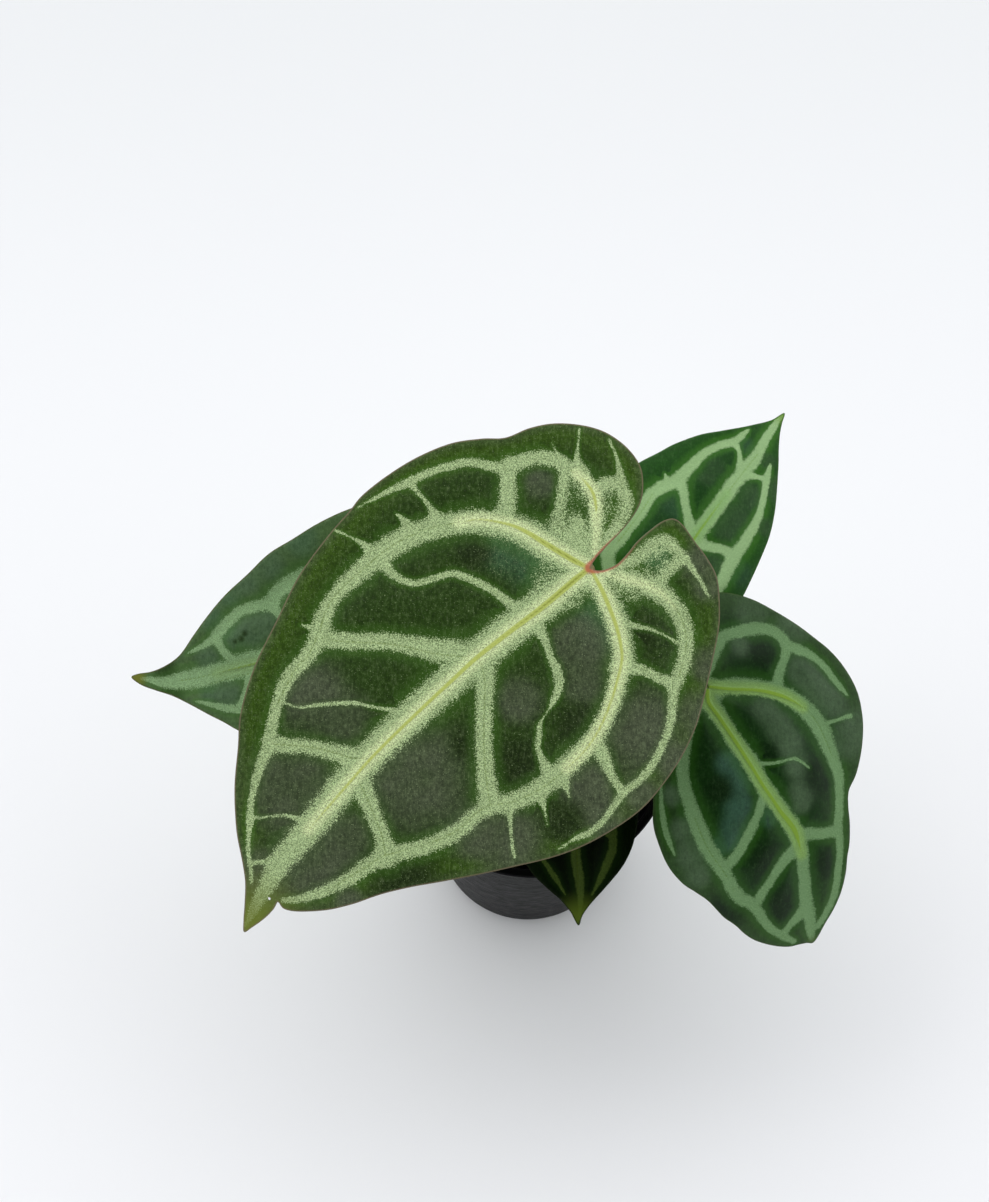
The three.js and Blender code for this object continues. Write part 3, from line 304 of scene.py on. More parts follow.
# %% The back leaf
LEAVES["back"] = dict(
    base=(29.2, 20.7, 119.1), tip=(75.6, 86.1, 128), facing=(0.25, -0.25, 0.93),
    arch=4, cup=6, wave=0.8, ripples=6, grain=0.66,
    right=[(0, 0), (1.3, -1.6), (2, -5), (2.6, -8.6), (4, -11.4), (7, -13.8), (11, -13.6),
           (15, -10.6), (18.4, -5.4), (20.8, 2), (22.2, 10), (22.5, 17), (21.9, 24), (20.6, 31),
           (19.2, 37.5), (17.4, 45), (14.6, 52), (11.4, 58), (8, 63.6), (4.8, 68.6), (2.6, 73),
           (1.2, 77), (0, 80.7)],
    left=[(-1.3, -1.6), (-2, -5), (-2.8, -9), (-4.4, -12.4), (-8, -15.4), (-13, -16), (-18.6, -13.6),
          (-23.6, -8.4), (-27.4, -0.6), (-29.4, 8), (-30, 17), (-29.2, 27), (-27.6, 34), (-25.8, 40),
          (-23, 46), (-20.8, 50.9), (-16.7, 57.2), (-12.5, 61.8), (-8.3, 66.8), (-4.6, 71.8), (-1.9, 76)],
    midrib=[(0, 0, 2.4), (0, 10, 2.2), (-0.2, 20, 2), (-0.5, 28.6, 1.9), (-0.5, 34.2, 2.1),
            (-0.4, 42.1, 2.1), (-0.4, 49.6, 2.1), (0, 56.6, 2.1), (0.4, 60.2, 1.9), (0.4, 63.5, 1.6),
            (0, 66.7, 1.4), (-0.3, 69.9, 1.3), (-0.3, 73.4, 1.1), (-0.3, 77.1, 0.75), (0, 79.2, 0.3)],
    veins=[
        # ring on the right and its rungs to the midrib
        [(0, 0, 2), (7, 3, 1.8), (11.6, 8, 1.6), (13.6, 15, 1.6), (13.9, 22.4, 1.7),
         (13.5, 25.5, 1.9), (12.8, 28.4, 2), (12.4, 31, 2), (12.3, 34, 1.9), (12.2, 38.5, 1.7),
         (11.9, 43.5, 1.5), (11.5, 46.3, 1.3), (10.8, 48.9, 1.2), (9.9, 51.3, 1.1), (9, 53.8, 1.1),
         (7.9, 56, 1.1), (6.8, 58.2, 1.2), (6, 60.8, 0.85), (5.2, 62.9, 0.35)],
        [(0.7, 29, 2), (2.8, 28.8, 1.6), (5.5, 30.1, 1.4), (8.1, 31.6, 1.4), (11.8, 32.5, 1.7)],
        [(0.7, 54.9, 1.9), (3, 56.1, 1), (5, 57.2, 0.75), (6.7, 58.4, 1)],
        [(0, 0, 2.2), (6, -4.4, 1.7), (11, -5.4, 1.4), (15.4, -1.6, 1.1), (18, 6, 0.8)],
        # ring on the left and its rungs
        [(0, 0, 2), (-9, 3.4, 1.9), (-14.6, 7, 1.9), (-17.6, 10.5, 1.8), (-17.2, 14.3, 1.7),
         (-17.1, 20, 1.5), (-17, 27, 1.5), (-17.7, 31.2, 1.7), (-17.3, 34.1, 1.8), (-16.4, 36.8, 1.9),
         (-15.1, 38.8, 1.9), (-14.2, 41.5, 1.8), (-13.5, 46, 1.6), (-12.9, 50.4, 1.4),
         (-12.2, 53.6, 1.3), (-11.2, 55.7, 1.2), (-10.2, 57.9, 1.2), (-8.9, 59.5, 1.2),
         (-7.5, 61.3, 1.3), (-6.9, 63.5, 1), (-6.4, 66, 0.8), (-6, 67.8, 0.35)],
        [(-13.4, 40.9, 1.9), (-12.4, 40, 1.6), (-10.7, 38.2, 1.3), (-9.1, 36.2, 1.2),
         (-7.4, 34.4, 1.2), (-5.6, 32.6, 1.3), (-2.2, 29.7, 1.8)],
        [(-7.2, 61.2, 1.1), (-5, 60, 0.75), (-3.6, 58.4, 0.75), (-2.8, 57.4, 0.9), (-1.1, 55.5, 1.7)],
        [(-15.5, 38.7, 1.2), (-17.1, 39.8, 0.55), (-18.3, 40.9, 0.15)],
        [(0, 0, 2.2), (-6.6, -4.8, 1.8), (-13, -7.4, 1.5), (-18.6, -5.6, 1.3), (-22.6, 0.6, 1.1),
         (-25, 8, 0.7)],
    ],
    yellow=[
        [(0, 0, 0.35), (-0.2, 20, 0.4), (-0.5, 30, 0.4), (-0.5, 38, 0.3), (-0.4, 46, 0.05)],
    ],
    faint=[
        [(-0.4, 46), (0, 56.6), (0.4, 63)],
        [(-17.2, 14.3), (-17.1, 20), (-17, 27), (-17.4, 33)],
    ],
    patches=[
        (-7.6, 50.6, 3, "slate"), (-7.4, 46, 2.6, "slate"), (5, 50, 4.5, "slate"),
        (4.8, 42, 4.5, "slate"),
        (5, 36.5, 4, "slate"), (8.5, 26.1, 4, "slate"), (10.4, 57.5, 4, "slate"), (14.4, 46, 3, "slate"),
        (16.6, 30, 4, "sea"), (-10, 33, 4, "sea"), (3.7, 63.1, 3, "slate"), (-3.8, 62.6, 3, "sea"),
        (8, 15, 6, "sea"),
    ],
)
print("back leaf:", len(LEAVES["back"]["veins"]), "lines of pale tissue")

# %% [markdown]
# The right leaf hangs in front of the back one. After the front leaf it is the sharpest in the
# photo, so its lines have more points and it has many patches.

# %% The right leaf
LEAVES["right"] = dict(
    base=(48.1, 0.1, 116), tip=(79.3, -58.4, 70), facing=(0.15, -0.45, 0.85),
    arch=9, cup=4, wave=1, ripples=6, grain=0.62,
    right=[(0, 0), (0.3, -1.8), (0.5, -4.5), (1.3, -8.5), (4, -13.6), (7.6, -16.6), (12, -16.4),
           (16.4, -12.8), (19.6, -6.4), (22, 2), (24.4, 11), (27.2, 20), (30.2, 26.4), (31.2, 32),
           (31.3, 38.3), (29.7, 44.2), (27.2, 48.3), (24.7, 52.5), (22.2, 59), (19.7, 63.3),
           (18, 67.1), (15.5, 70.8), (11.3, 74.6), (7.2, 77.1), (4, 78), (1.8, 78.8), (0, 80)],
    left=[(-0.3, -1.8), (-0.5, -4.5), (-1.6, -9), (-4.6, -15.8), (-9, -20.4), (-14, -21.6),
          (-19.4, -19.8), (-24.6, -15.6), (-28.6, -10.4), (-32.2, -4.9), (-35, 0.3), (-37.6, 5.6),
          (-39.1, 10.8), (-39.7, 16.6), (-39.1, 21.5), (-37, 27.5), (-33.2, 33.8), (-28.7, 39.2),
          (-24.8, 42.2), (-22.8, 46), (-21.2, 50.8), (-19, 55.8), (-17, 59.2), (-14.9, 63.8),
          (-12, 68.8), (-8.7, 72.9), (-5.3, 76), (-2, 79)],
    midrib=[(0, 0, 2.2), (1.2, 3.9, 2.4), (1, 7.7, 2.3), (0.7, 10.7, 2.2), (0.4, 14.5, 2.2),
            (-0.3, 18, 2.3), (-1, 21.3, 2.3), (-1.4, 27.5, 2.2), (-2.8, 34.1, 2.2), (-3.8, 38.6, 2.2),
            (-4.8, 42.4, 2.3), (-5.1, 46.5, 2.2), (-4.7, 51.7, 1.9), (-3.8, 55.5, 1.8),
            (-3, 59.5, 1.8), (-2, 63.5, 1.9), (-1.4, 67.8, 2), (-1.1, 72.3, 1.8), (-0.4, 76.8, 1.3),
            (0, 79, 0.6)],
    veins=[
        # ring on the right and its rungs to the midrib
        [(0, 0, 1.9), (6, 3.6, 1.6), (11, 8, 1.5), (15.4, 14.2, 1.5), (17.1, 17.3, 1.6),
         (18.2, 20.7, 1.7), (18.8, 24.4, 1.8), (19.3, 29.5, 2), (19.5, 35.9, 2.2), (19.1, 40.4, 2.2),
         (18.2, 44.2, 2), (17.3, 48.5, 1.8), (17, 52.5, 1.8), (15.9, 56, 1.8), (13.5, 59, 1.7),
         (12.4, 62.2, 1.5), (11.8, 65.5, 1.3), (10.5, 69.2, 1.2), (7.8, 73.1, 1.1), (5.4, 76, 0.8)],
        [(-1.5, 31.4, 1.7), (0.5, 32.9, 1.3), (2.8, 35.5, 1.1), (5.7, 38.2, 1.4), (8.9, 40.8, 1.4),
         (12.2, 43.4, 1.4), (16.1, 45.3, 1.5)],
        [(-4.3, 49.3, 1.8), (-1.8, 50.2, 1.7), (1.1, 51.2, 1.5), (4.4, 53.4, 1.3), (7.7, 55.8, 1.2),
         (9.5, 57.1, 1.3), (11.4, 58.8, 1.5)],
        [(0.1, 68.3, 1.9), (3.3, 69.8, 1.4), (5.3, 70.6, 1.1), (7.1, 72, 1.1)],
        # the right lobe
        [(0, 0, 2.2), (4.6, -6, 1.8), (9.6, -9.6, 1.5), (14, -7, 1.3), (17.4, -0.4, 1.1),
         (20.2, 7, 0.8), (22.4, 13, 0.5), (24.2, 18.3, 0.4), (26.2, 23, 0.65), (27.8, 28.4, 0.75),
         (28.4, 33, 0.6), (28.5, 36.4, 0.2)],
        # ring on the left and its rungs
        [(0, 0, 1.9), (-3.6, 1.1, 1.9), (-8.3, 3, 2.2), (-11.5, 4.6, 2.2), (-14.5, 6.5, 2.1),
         (-17.3, 8.7, 2.2), (-19.7, 11.3, 2.3), (-21.4, 13.9, 2.4), (-22.5, 16.4, 2.5),
         (-23.6, 19.8, 2.6), (-24.3, 23, 2.6), (-24.2, 27, 2.3), (-24.1, 31, 2), (-23.7, 36.3, 1.7),
         (-22.5, 39.8, 1.5), (-20.2, 44.8, 1.3), (-17.5, 49.8, 1.4), (-16.5, 53.5, 1.2),
         (-15.2, 57.1, 1.1), (-13.5, 60.6, 1), (-12, 64.3, 1.1), (-9.6, 69, 1.1), (-6.6, 72.5, 1.1),
         (-3, 75.5, 1)],
        [(-5.5, 46.1, 2.3), (-6.9, 46.8, 1.9), (-9.2, 47.6, 1.7), (-11.9, 48.9, 1.5), (-16.7, 50.8, 1.6)],
        [(-1.3, 22.6, 1), (-4.5, 24, 0.5), (-7.7, 25.1, 0.4), (-10.8, 25.7, 0.35),
         (-12.8, 26.2, 0.42), (-14.4, 27.9, 0.4), (-15.8, 30.4, 0.3)],
        # the left lobe
        [(0, 0, 1.8), (-0.2, -2.3, 1.2), (-2.8, -4.5, 1.2), (-5.3, -6.7, 1.3), (-8.1, -8.7, 1.6),
         (-10.4, -9.9, 1.6), (-13.1, -10.1, 1.5), (-16.5, -9.5, 1.5), (-20.1, -8.6, 1.7),
         (-23.4, -7.2, 1.6), (-25.5, -5.4, 1.6), (-26.6, -2.2, 1.6), (-27.4, -0.2, 1.5),
         (-30.7, 3.1, 1.3), (-32.3, 5.7, 1), (-33.5, 8.1, 1), (-34.7, 13.6, 0.9), (-35.5, 16.2, 0.7),
         (-36.1, 18.4, 0.3)],
        [(-26, -0.5, 1.4), (-24.8, 0.8, 1.3), (-23.4, 2, 1), (-21.9, 3.2, 1.1), (-20.5, 4.4, 1.3),
         (-18.2, 7.1, 1.7)],
        [(-24.6, 22.3, 1.5), (-27.2, 22.5, 0.65), (-29.7, 22.9, 0.45), (-32.3, 23.3, 0.5),
         (-34.4, 23.9, 0.65)],
    ],
    yellow=[
        [(0.4, 0.4, 0.5), (1.8, 3.2, 0.55), (1.2, 7.2, 0.55), (0.6, 11.5, 0.55), (-0.2, 17.3, 0.55),
         (-1.2, 24.9, 0.5), (-1.7, 29.2, 0.5), (-2.6, 33.6, 0.5), (-3.4, 38, 0.6), (-4.5, 41.6, 0.7),
         (-5.2, 45.1, 0.7), (-5, 49, 0.3), (-4.6, 52, 0.05)],
        [(-0.4, -0.3, 0.4), (-4.7, 2.2, 0.45), (-7.9, 3.8, 0.45), (-11, 5.3, 0.45), (-14.1, 7.1, 0.5),
         (-16.9, 9.3, 0.55), (-18.8, 11, 0.5), (-20.6, 13.2, 0.3), (-22, 15.4, 0.05)],
    ],
    faint=[
        [(-22, 15.4), (-23.1, 17.8), (-24, 20.9), (-24.2, 27), (-24.1, 31)],
        [(19.3, 29.5), (19.5, 35.9), (19.1, 40.4), (18.2, 44.2), (17.3, 48.5)],
    ],
    patches=[
        (-14.2, -6.1, 3, "slate"), (-22.4, -12.2, 5, "slate"), (-30.5, -4.5, 5, "slate"),
        (-26.3, 7, 5, "slate"), (-28, 13, 5, "slate"), (-30.4, 18.5, 5, "slate"), (-30, 29.4, 6, "slate"),
        (-34.6, 26, 4, "slate"), (-11.5, 11.4, 4, "slate"), (-12.7, 16.7, 4.4, "slate"),
        (-13.3, 22, 4.4, "slate"), (-13, 29, 4.2, "slate"), (-11.2, 35.4, 4.2, "slate"),
        (-9.1, 39, 2.6, "slate"), (24.4, 37.8, 5, "slate"), (24, 31, 3.6, "slate"),
        (22.6, 21.4, 3, "slate"), (24.6, 44, 4, "slate"), (4.8, 20, 3.8, "sea"),
        (5.6, 25.6, 4.2, "sea"), (7.4, 31, 4.2, "sea"), (10, 35.5, 4, "sea"),
        (13.2, 38.8, 3.6, "sea"), (16.6, 39.6, 2.6, "sea"),
        (0.6, 37.6, 3, "sea"), (-6, 22, 4, "deep"), (-18, 34, 6, "deep"), (-11, 58, 5, "deep"),
        (6, 48, 5, "deep"), (6, 63, 5, "deep"), (-18.5, -2, 4, "deep"), (10, 25, 4, "deep"),
        (22, 58, 7, "deep"),
    ],
)
print("right leaf:", len(LEAVES["right"]["veins"]), "lines of pale tissue")

# %% [markdown]
# The young leaf is small and low, over the near rim of the pot, with a few thin veins.

# %% The young leaf
LEAVES["young"] = dict(
    base=(9.6, -9.9, 100), tip=(12.2, -54.5, 79), facing=(0.05, -0.3, 0.95),
    arch=5, cup=3, wave=0.6, ripples=5, grain=0.66,
    right=[(0, 0), (1, -1.4), (1.7, -4.2), (2.8, -7), (5.6, -9.8), (9.6, -10.6), (13.8, -8),
           (17, -2.6), (18.8, 5), (19, 13.6), (17.6, 22.4), (15.2, 29.6), (12.4, 35), (8.6, 39.2),
           (5, 42.7), (2.2, 46.4), (0, 50.5)],
    left=[(-1, -1.4), (-1.7, -4.2), (-2.8, -7), (-5.8, -9.6), (-9.8, -10), (-14, -6.8), (-17.2, -1),
          (-19, 6.6), (-19.2, 15), (-18.2, 22.4), (-16.6, 28), (-14.4, 32.4), (-11.9, 35.8),
          (-7.5, 40.5), (-3.8, 44.3), (-1.3, 47.6)],
    midrib=[(0, 0, 1.6), (-0.1, 18, 1.4), (0.2, 29.1, 1.3), (-0.1, 33.3, 1.3), (-0.6, 37.5, 1.2),
            (-0.8, 41.8, 0.9), (-0.6, 46.1, 0.55), (-0.2, 49, 0.2)],
    veins=[
        [(0, 0, 1.3), (5.6, 3, 1.1), (9.6, 9, 1), (11.6, 17, 0.9), (11, 25, 0.8), (9.7, 30.4, 0.6),
         (8, 33.4, 0.6), (6.3, 36.1, 0.75), (4.5, 39.4, 0.4), (3.5, 41.5, 0.2)],
        [(-0.2, 16, 1.2), (5, 20.6, 0.6), (10.8, 25, 0.7)],
        [(0, 0, 1.3), (-5.6, 3, 1.1), (-9.8, 9.6, 1), (-11.4, 18, 0.9), (-10.8, 25.6, 1.1),
         (-10.2, 30, 1.1), (-8.4, 33.8, 1.1), (-6.9, 37, 0.9), (-5.4, 39.6, 0.55), (-3.9, 42, 0.25)],
        [(-0.2, 17, 1.2), (-5, 22, 0.6), (-10.6, 26.4, 0.7)],
        [(0, 0, 1.5), (5, -4, 1.1), (9.6, -4.6, 0.9), (13, -0.6, 0.7), (15.2, 6, 0.4)],
        [(0, 0, 1.5), (-5, -3.8, 1.1), (-9.6, -4.2, 0.9), (-13, 0, 0.7), (-15.2, 7, 0.4)],
    ],
    yellow=[[(0, 0, 0.3), (-0.2, 18, 0.3), (-0.2, 36, 0.2), (-0.1, 42, 0.05)]],
    faint=[[(5.6, 3), (9.6, 9), (11.4, 17), (11, 25)]],
    patches=[(0, 20, 5, "sea")],
)
print("young leaf:", len(LEAVES["young"]["veins"]), "lines of pale tissue")

# %% [markdown]
# ## Smooth lines and distances
#
# The outline and the veins of a real leaf have no corners. A few points make a smooth line with
# the Catmull-Rom rule, which passes through every point. A Bezier curve would do the same, but its
# handles would double the numbers.

# %% Smooth a line of points
LINE_STEP = 1.4  # distance between the points of a smoothed vein, mm


def smooth(points, step):
    p = np.array(points, float)
    out = []
    for i in range(len(p) - 1):
        a, b, c, d = p[max(i - 1, 0)], p[i], p[i + 1], p[min(i + 2, len(p) - 1)]
        pieces = max(1, round(math.hypot(*(c - b)[:2]) / step))
        t = (np.arange(pieces) / pieces)[:, None]
        tangent, next_tangent = (c - a) / 2, (d - b) / 2
        out.append((2 * (b - c) + tangent + next_tangent) * t**3
                   + (3 * (c - b) - 2 * tangent - next_tangent) * t**2 + tangent * t + b)
    return np.vstack(out + [p[-1:]])


front_midrib = LEAVES["front"]["midrib"]
print(len(front_midrib), "points become", len(smooth(front_midrib, LINE_STEP)))

# %% [markdown]
# Almost everything else about a leaf follows from how far a spot is from such lines: the valley
# over a vein, the pale band, the dark rim. So one helper measures from many spots to one line.

# %% Measure from spots to a line
def measure(spots, line):
    """How far each spot is from the line, how far along it that is, and the line's value there."""
    start, run = line[:-1, :2], np.diff(line[:, :2], axis=0)
    length = np.hypot(*run.T) + 1e-9
    travelled = np.concatenate([[0], np.cumsum(length)])[:-1]
    best = np.full(len(spots), 1e9)
    along = np.zeros(len(spots))
    value = np.zeros(len(spots))
    column = line[:, 2] if line.shape[1] > 2 else np.zeros(len(line))
    for i in range(len(run)):
        gap = spots - start[i]
        t = np.clip(gap @ run[i] / length[i] ** 2, 0, 1)
        away = np.hypot(*(gap - t[:, None] * run[i]).T)
        closer = away < best
        best[closer] = away[closer]
        along[closer] = travelled[i] + t[closer] * length[i]
        value[closer] = column[i] + t[closer] * (column[i + 1] - column[i])
    return best, along, value


tip_distance = measure(np.array([[0.0, 140.0]]), smooth(front_midrib, LINE_STEP))[0][0]
print("a spot at y = 140 lies", round(float(tip_distance), 1), "mm from the front midrib")

# %% [markdown]
# ## The form of a leaf
#
# A blade hangs from its stalk, bowed along the midrib, with both sides dropping and a gently
# ruffled margin, and it puffs up between its veins. Modifiers could bend a flat sheet, but a
# height that is worked out over a tilted plane keeps the blade exactly where the solids have it.

# %% Place and bend the plan
PUFF = 1.1  # how far a panel stands over the vein's valley, mm


class LeafForm:
    def __init__(self, leaf):
        self.leaf = leaf
        self.base = np.array(leaf["base"], float)
        reach = np.array(leaf["tip"], float) - self.base
        self.length = np.linalg.norm(reach)
        self.along = reach / self.length
        up = np.array(leaf["facing"], float)
        up -= up @ self.along * self.along
        self.up = up / np.linalg.norm(up)
        self.across = np.cross(self.along, self.up)
        self.half = max(p[0] for p in leaf["right"])

    def height(self, x, y):
        v, u = y / self.length, x / self.half
        leaf = self.leaf
        bow = leaf["arch"] * 4 * v * (1 - v) - leaf["cup"] * u * u
        outward = np.minimum(1, np.hypot(u, v - 0.3) / 0.9)
        return bow + leaf["wave"] * outward**3 * np.sin(leaf["ripples"] * np.arctan2(u, v - 0.3))

    def place(self, x, y, h):
        at = np.outer(x, self.across) + np.outer(y, self.along) + np.outer(h, self.up)
        return (self.base + at) * MM


forms = {name: LeafForm(leaf) for name, leaf in LEAVES.items()}
print({name: round(float(form.length)) for name, form in forms.items()})

# %% [markdown]
# ## A sheet of even triangles
#
# A grid would crowd its points where the rays meet at the stalk. A blade needs the same fine
# grain everywhere instead, because its pattern is stored point by point. So the plan is filled
# with points at the corners of even triangles, and a Delaunay fill joins them up to the outline.
# The front leaf has a tiny hole near its tip: it gets a ring of points of its own, and the
# triangles inside the ring are left out.

# %% Fill an outline with even points
HOLE_SIDES = 8


def inside(spots, loop):
    x, y = spots.T
    result = np.zeros(len(spots), bool)
    for (ax, ay), (bx, by) in zip(loop, np.roll(loop, -1, axis=0)):
        if ay != by:
            crosses = ((ay > y) != (by > y)) & (x < (bx - ax) * (y - ay) / (by - ay) + ax)
            result ^= crosses
    return result


def fill(leaf):
    grain = leaf["grain"]
    outline = smooth(leaf["right"] + leaf["left"][::-1] + [leaf["right"][0]], grain)
    loop = outline[:-1]
    low, high = loop.min(axis=0), loop.max(axis=0)
    rows = np.arange(low[1], high[1], grain * math.sqrt(3) / 2)
    columns = np.arange(low[0], high[0], grain)
    spots = np.array([(x + grain / 2 * (j % 2), y) for j, y in enumerate(rows) for x in columns])
    spots = spots[inside(spots, loop)]
    spots = spots[measure(spots, outline)[0] > grain * 0.55]
    ring = np.empty((0, 2))
    if "hole" in leaf:
        x, y, radius = leaf["hole"]
        turn = np.arange(HOLE_SIDES) * math.tau / HOLE_SIDES
        ring = np.stack([x + radius * np.cos(turn), y + radius * np.sin(turn)], axis=1)
        spots = spots[np.hypot(*(spots - (x, y)).T) > radius + grain / 2]
    points = [Vector(p) for p in np.vstack([loop, ring, spots])]
    points, _, faces, *_ = delaunay_2d_cdt(points, [], [list(range(len(loop)))], 1, 1e-6)
    points = np.array([p[:] for p in points])
    if "hole" in leaf:
        away = np.hypot(*(points - (x, y)).T)
        faces = [face for face in faces if max(away[corner] for corner in face) > radius + 0.01]
    return points, faces, outline


print("the young leaf is filled with", len(fill(LEAVES["young"])[1]), "triangles")

# %% [markdown]
# ## The pattern of a leaf
#
# The pale bands of this plant follow its veins and widen into webs where veins meet. They could be
# painted on an image, but measured from the veins they stay sharp at any distance. Every point of
# the blade learns how far it lies inside or outside the band of its nearest vein, and bands are
# joined with a smooth minimum, which makes the webs. The place along and across that vein is kept
# too: the band's ragged edge is made of streaks that run straight out from the vein.

# %% Work out the pattern
STALK_WEB = 5.5  # reach of the pale web around the stalk of the front leaf, mm
FRONT_LENGTH = 131  # length of the front leaf, mm: the other webs are smaller in proportion
OFF_THE_LINES = 9.0  # yellow distance where a leaf has no yellow line near


def gather(spots, patches, tint):
    """How strongly a tint shows at each spot: one soft blot for each patch of that tint."""
    amount = np.zeros(len(spots))
    for x, y, radius, kind in patches:
        if kind == tint:
            blot = np.exp(-((np.hypot(*(spots - (x, y)).T) / radius) ** 4))
            amount = 1 - (1 - amount) * (1 - blot)
    return amount


def pattern(leaf, form, spots, outline):
    """The marks to store on each point, and how deep the point lies in the valley of a vein."""
    lines = [smooth(v, LINE_STEP) for v in [leaf["midrib"]] + leaf["veins"]]
    edge = np.hypot(*(spots - (0, 1)).T) - STALK_WEB * form.length / FRONT_LENGTH
    width = np.full(len(spots), 3.0)
    flow = np.zeros((len(spots), 3))
    dip = np.zeros(len(spots))
    for k, line in enumerate(lines):
        away, along, half = measure(spots, line)
        own = away - half
        nearer = own < edge
        width[nearer] = half[nearer]
        flow[nearer] = np.stack([along + 61 * k, away, np.zeros(len(away))], axis=1)[nearer]
        web = 0.25 + 0.4 * np.minimum(half, 2.5)
        overlap = np.maximum(web - np.abs(edge - own), 0) / web
        edge = np.minimum(edge, own) - overlap**2 * web / 4
        dip = np.maximum(dip, np.minimum(1, half / 2) * np.exp(-((away / (2 + 1.4 * half)) ** 2)))
    mist = gather(spots, leaf["patches"], "mist")
    edge = edge * (1 - 0.8 * mist) - 0.1 * mist
    yellow = np.full(len(spots), OFF_THE_LINES)
    for points in leaf["yellow"]:
        away, _, half = measure(spots, smooth(points, LINE_STEP))
        yellow = np.minimum(yellow, away - half)
    faint = np.min([measure(spots, smooth(points, LINE_STEP))[0] for points in leaf["faint"]], axis=0)
    rim = measure(spots, outline)[0]
    sinus = measure(spots, smooth(leaf["right"][:6], LINE_STEP))[0]
    sinus = np.minimum(sinus, measure(spots, smooth([(0, 0)] + leaf["left"][:6], LINE_STEP))[0])
    from_base = np.hypot(*spots.T)
    blush = 1.2 * np.exp(-((sinus / 0.65) ** 2)) * np.exp(-((from_base / 13) ** 2))
    blush += np.exp(-((from_base / 1.6) ** 2))
    to_tip = np.hypot(*(spots - (0, form.length)).T)
    # three tints of painted light: a grey sheen, a bluish sheen and shade
    tints = [gather(spots, leaf["patches"], tint) for tint in ("slate", "sea", "deep")]
    marks = {
        "vein": np.stack([edge, width, yellow], axis=1),
        "flow": flow,
        "edge_of_leaf": np.stack([rim, np.minimum(blush, 1), to_tip], axis=1),
        "tint": np.stack(tints, axis=1),
        "faint": faint,
    }
    return marks, dip


some_spots = np.array([[7.0, 64.0], [20.0, 70.0]])
front_marks, _ = pattern(LEAVES["front"], forms["front"], some_spots, smooth(LEAVES["front"]["right"], 1))
print("a spot on the midrib and one in a panel lie", front_marks["vein"][:, 0].round(1), "mm outside a band")

# %% [markdown]
# ## Making the blades
#
# Blender's tools work on what is selected and active, and modifiers have to be applied before
# points can be counted on. A few helpers see to that. They also read and write the points in one
# go, which is far quicker than one by one.

# %% Select, apply, store
def clear_selection():
    bpy.ops.object.select_all(action="DESELECT")


def select_only(piece):
    clear_selection()
    bpy.context.view_layer.objects.active = piece
    piece.select_set(True)


def finish_modifiers(piece):
    select_only(piece)
    for modifier in list(piece.modifiers):
        bpy.ops.object.modifier_apply(modifier=modifier.name)


def store(mesh, name, values):
    kind, field = ("FLOAT_VECTOR", "vector") if values.ndim == 2 else ("FLOAT", "value")
    attribute = mesh.attributes.new(name, kind, "POINT")
    attribute.data.foreach_set(field, values.astype(np.float32).ravel())


def points_of(mesh):
    places = np.empty(len(mesh.vertices) * 3)
    mesh.vertices.foreach_get("co", places)
    return places.reshape(-1, 3)


print("blades will be made of", sorted({leaf["grain"] for leaf in LEAVES.values()}), "mm triangles")

# %% [markdown]
# A real blade is a thin sheet with ribs on its underside, one along the midrib and smaller ones
# under the main veins. A closed solid could be modelled at once, but it is simpler to bend the
# sheet into its form, let Solidify give it a thickness, and then push the underside down under
# the veins.

# %% Make one blade
SHEET = 0.55  # thickness of the blade between its ribs, mm


def make_blade(name):
    leaf, form = LEAVES[name], forms[name]
    spots, faces, outline = fill(leaf)
    marks, dip = pattern(leaf, form, spots, outline)
    x, y = spots.T
    h = form.height(x, y) + PUFF * (1 - dip)
    top = form.place(x, y, h)
    mesh = bpy.data.meshes.new("blade_" + name)
    mesh.from_pydata(top.tolist(), [], faces)
    for key, values in marks.items():
        store(mesh, key, values)
    piece = bpy.data.objects.new(name + "_leaf", mesh)
    bpy.context.collection.objects.link(piece)
    thicken = piece.modifiers.new("thicken", "SOLIDIFY")
    thicken.thickness = SHEET * MM
    thicken.offset = -1
    finish_modifiers(piece)
    count = len(spots)
    taper = 1 - 0.75 * np.clip(y / form.length, 0, 1)
    midrib = measure(spots, smooth(leaf["midrib"], LINE_STEP))[0]
    rib = 1.1 * taper * np.exp(-((midrib / 1.5) ** 2)) + 0.35 * taper * dip**3
    places = points_of(mesh)
    places[count:2 * count] -= np.outer(rib * MM, form.up)
    mesh.vertices.foreach_set("co", places.ravel())
    under = np.zeros(len(mesh.vertices))
    under[count:] = 1
    store(mesh, "under", under)
    select_only(piece)
    bpy.ops.object.shade_smooth()
    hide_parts("blade_" + name)
    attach(piece, "root")
    print(piece.name, len(mesh.polygons), "faces")
    return piece


blades = {name: make_blade(name) for name in LEAVES}
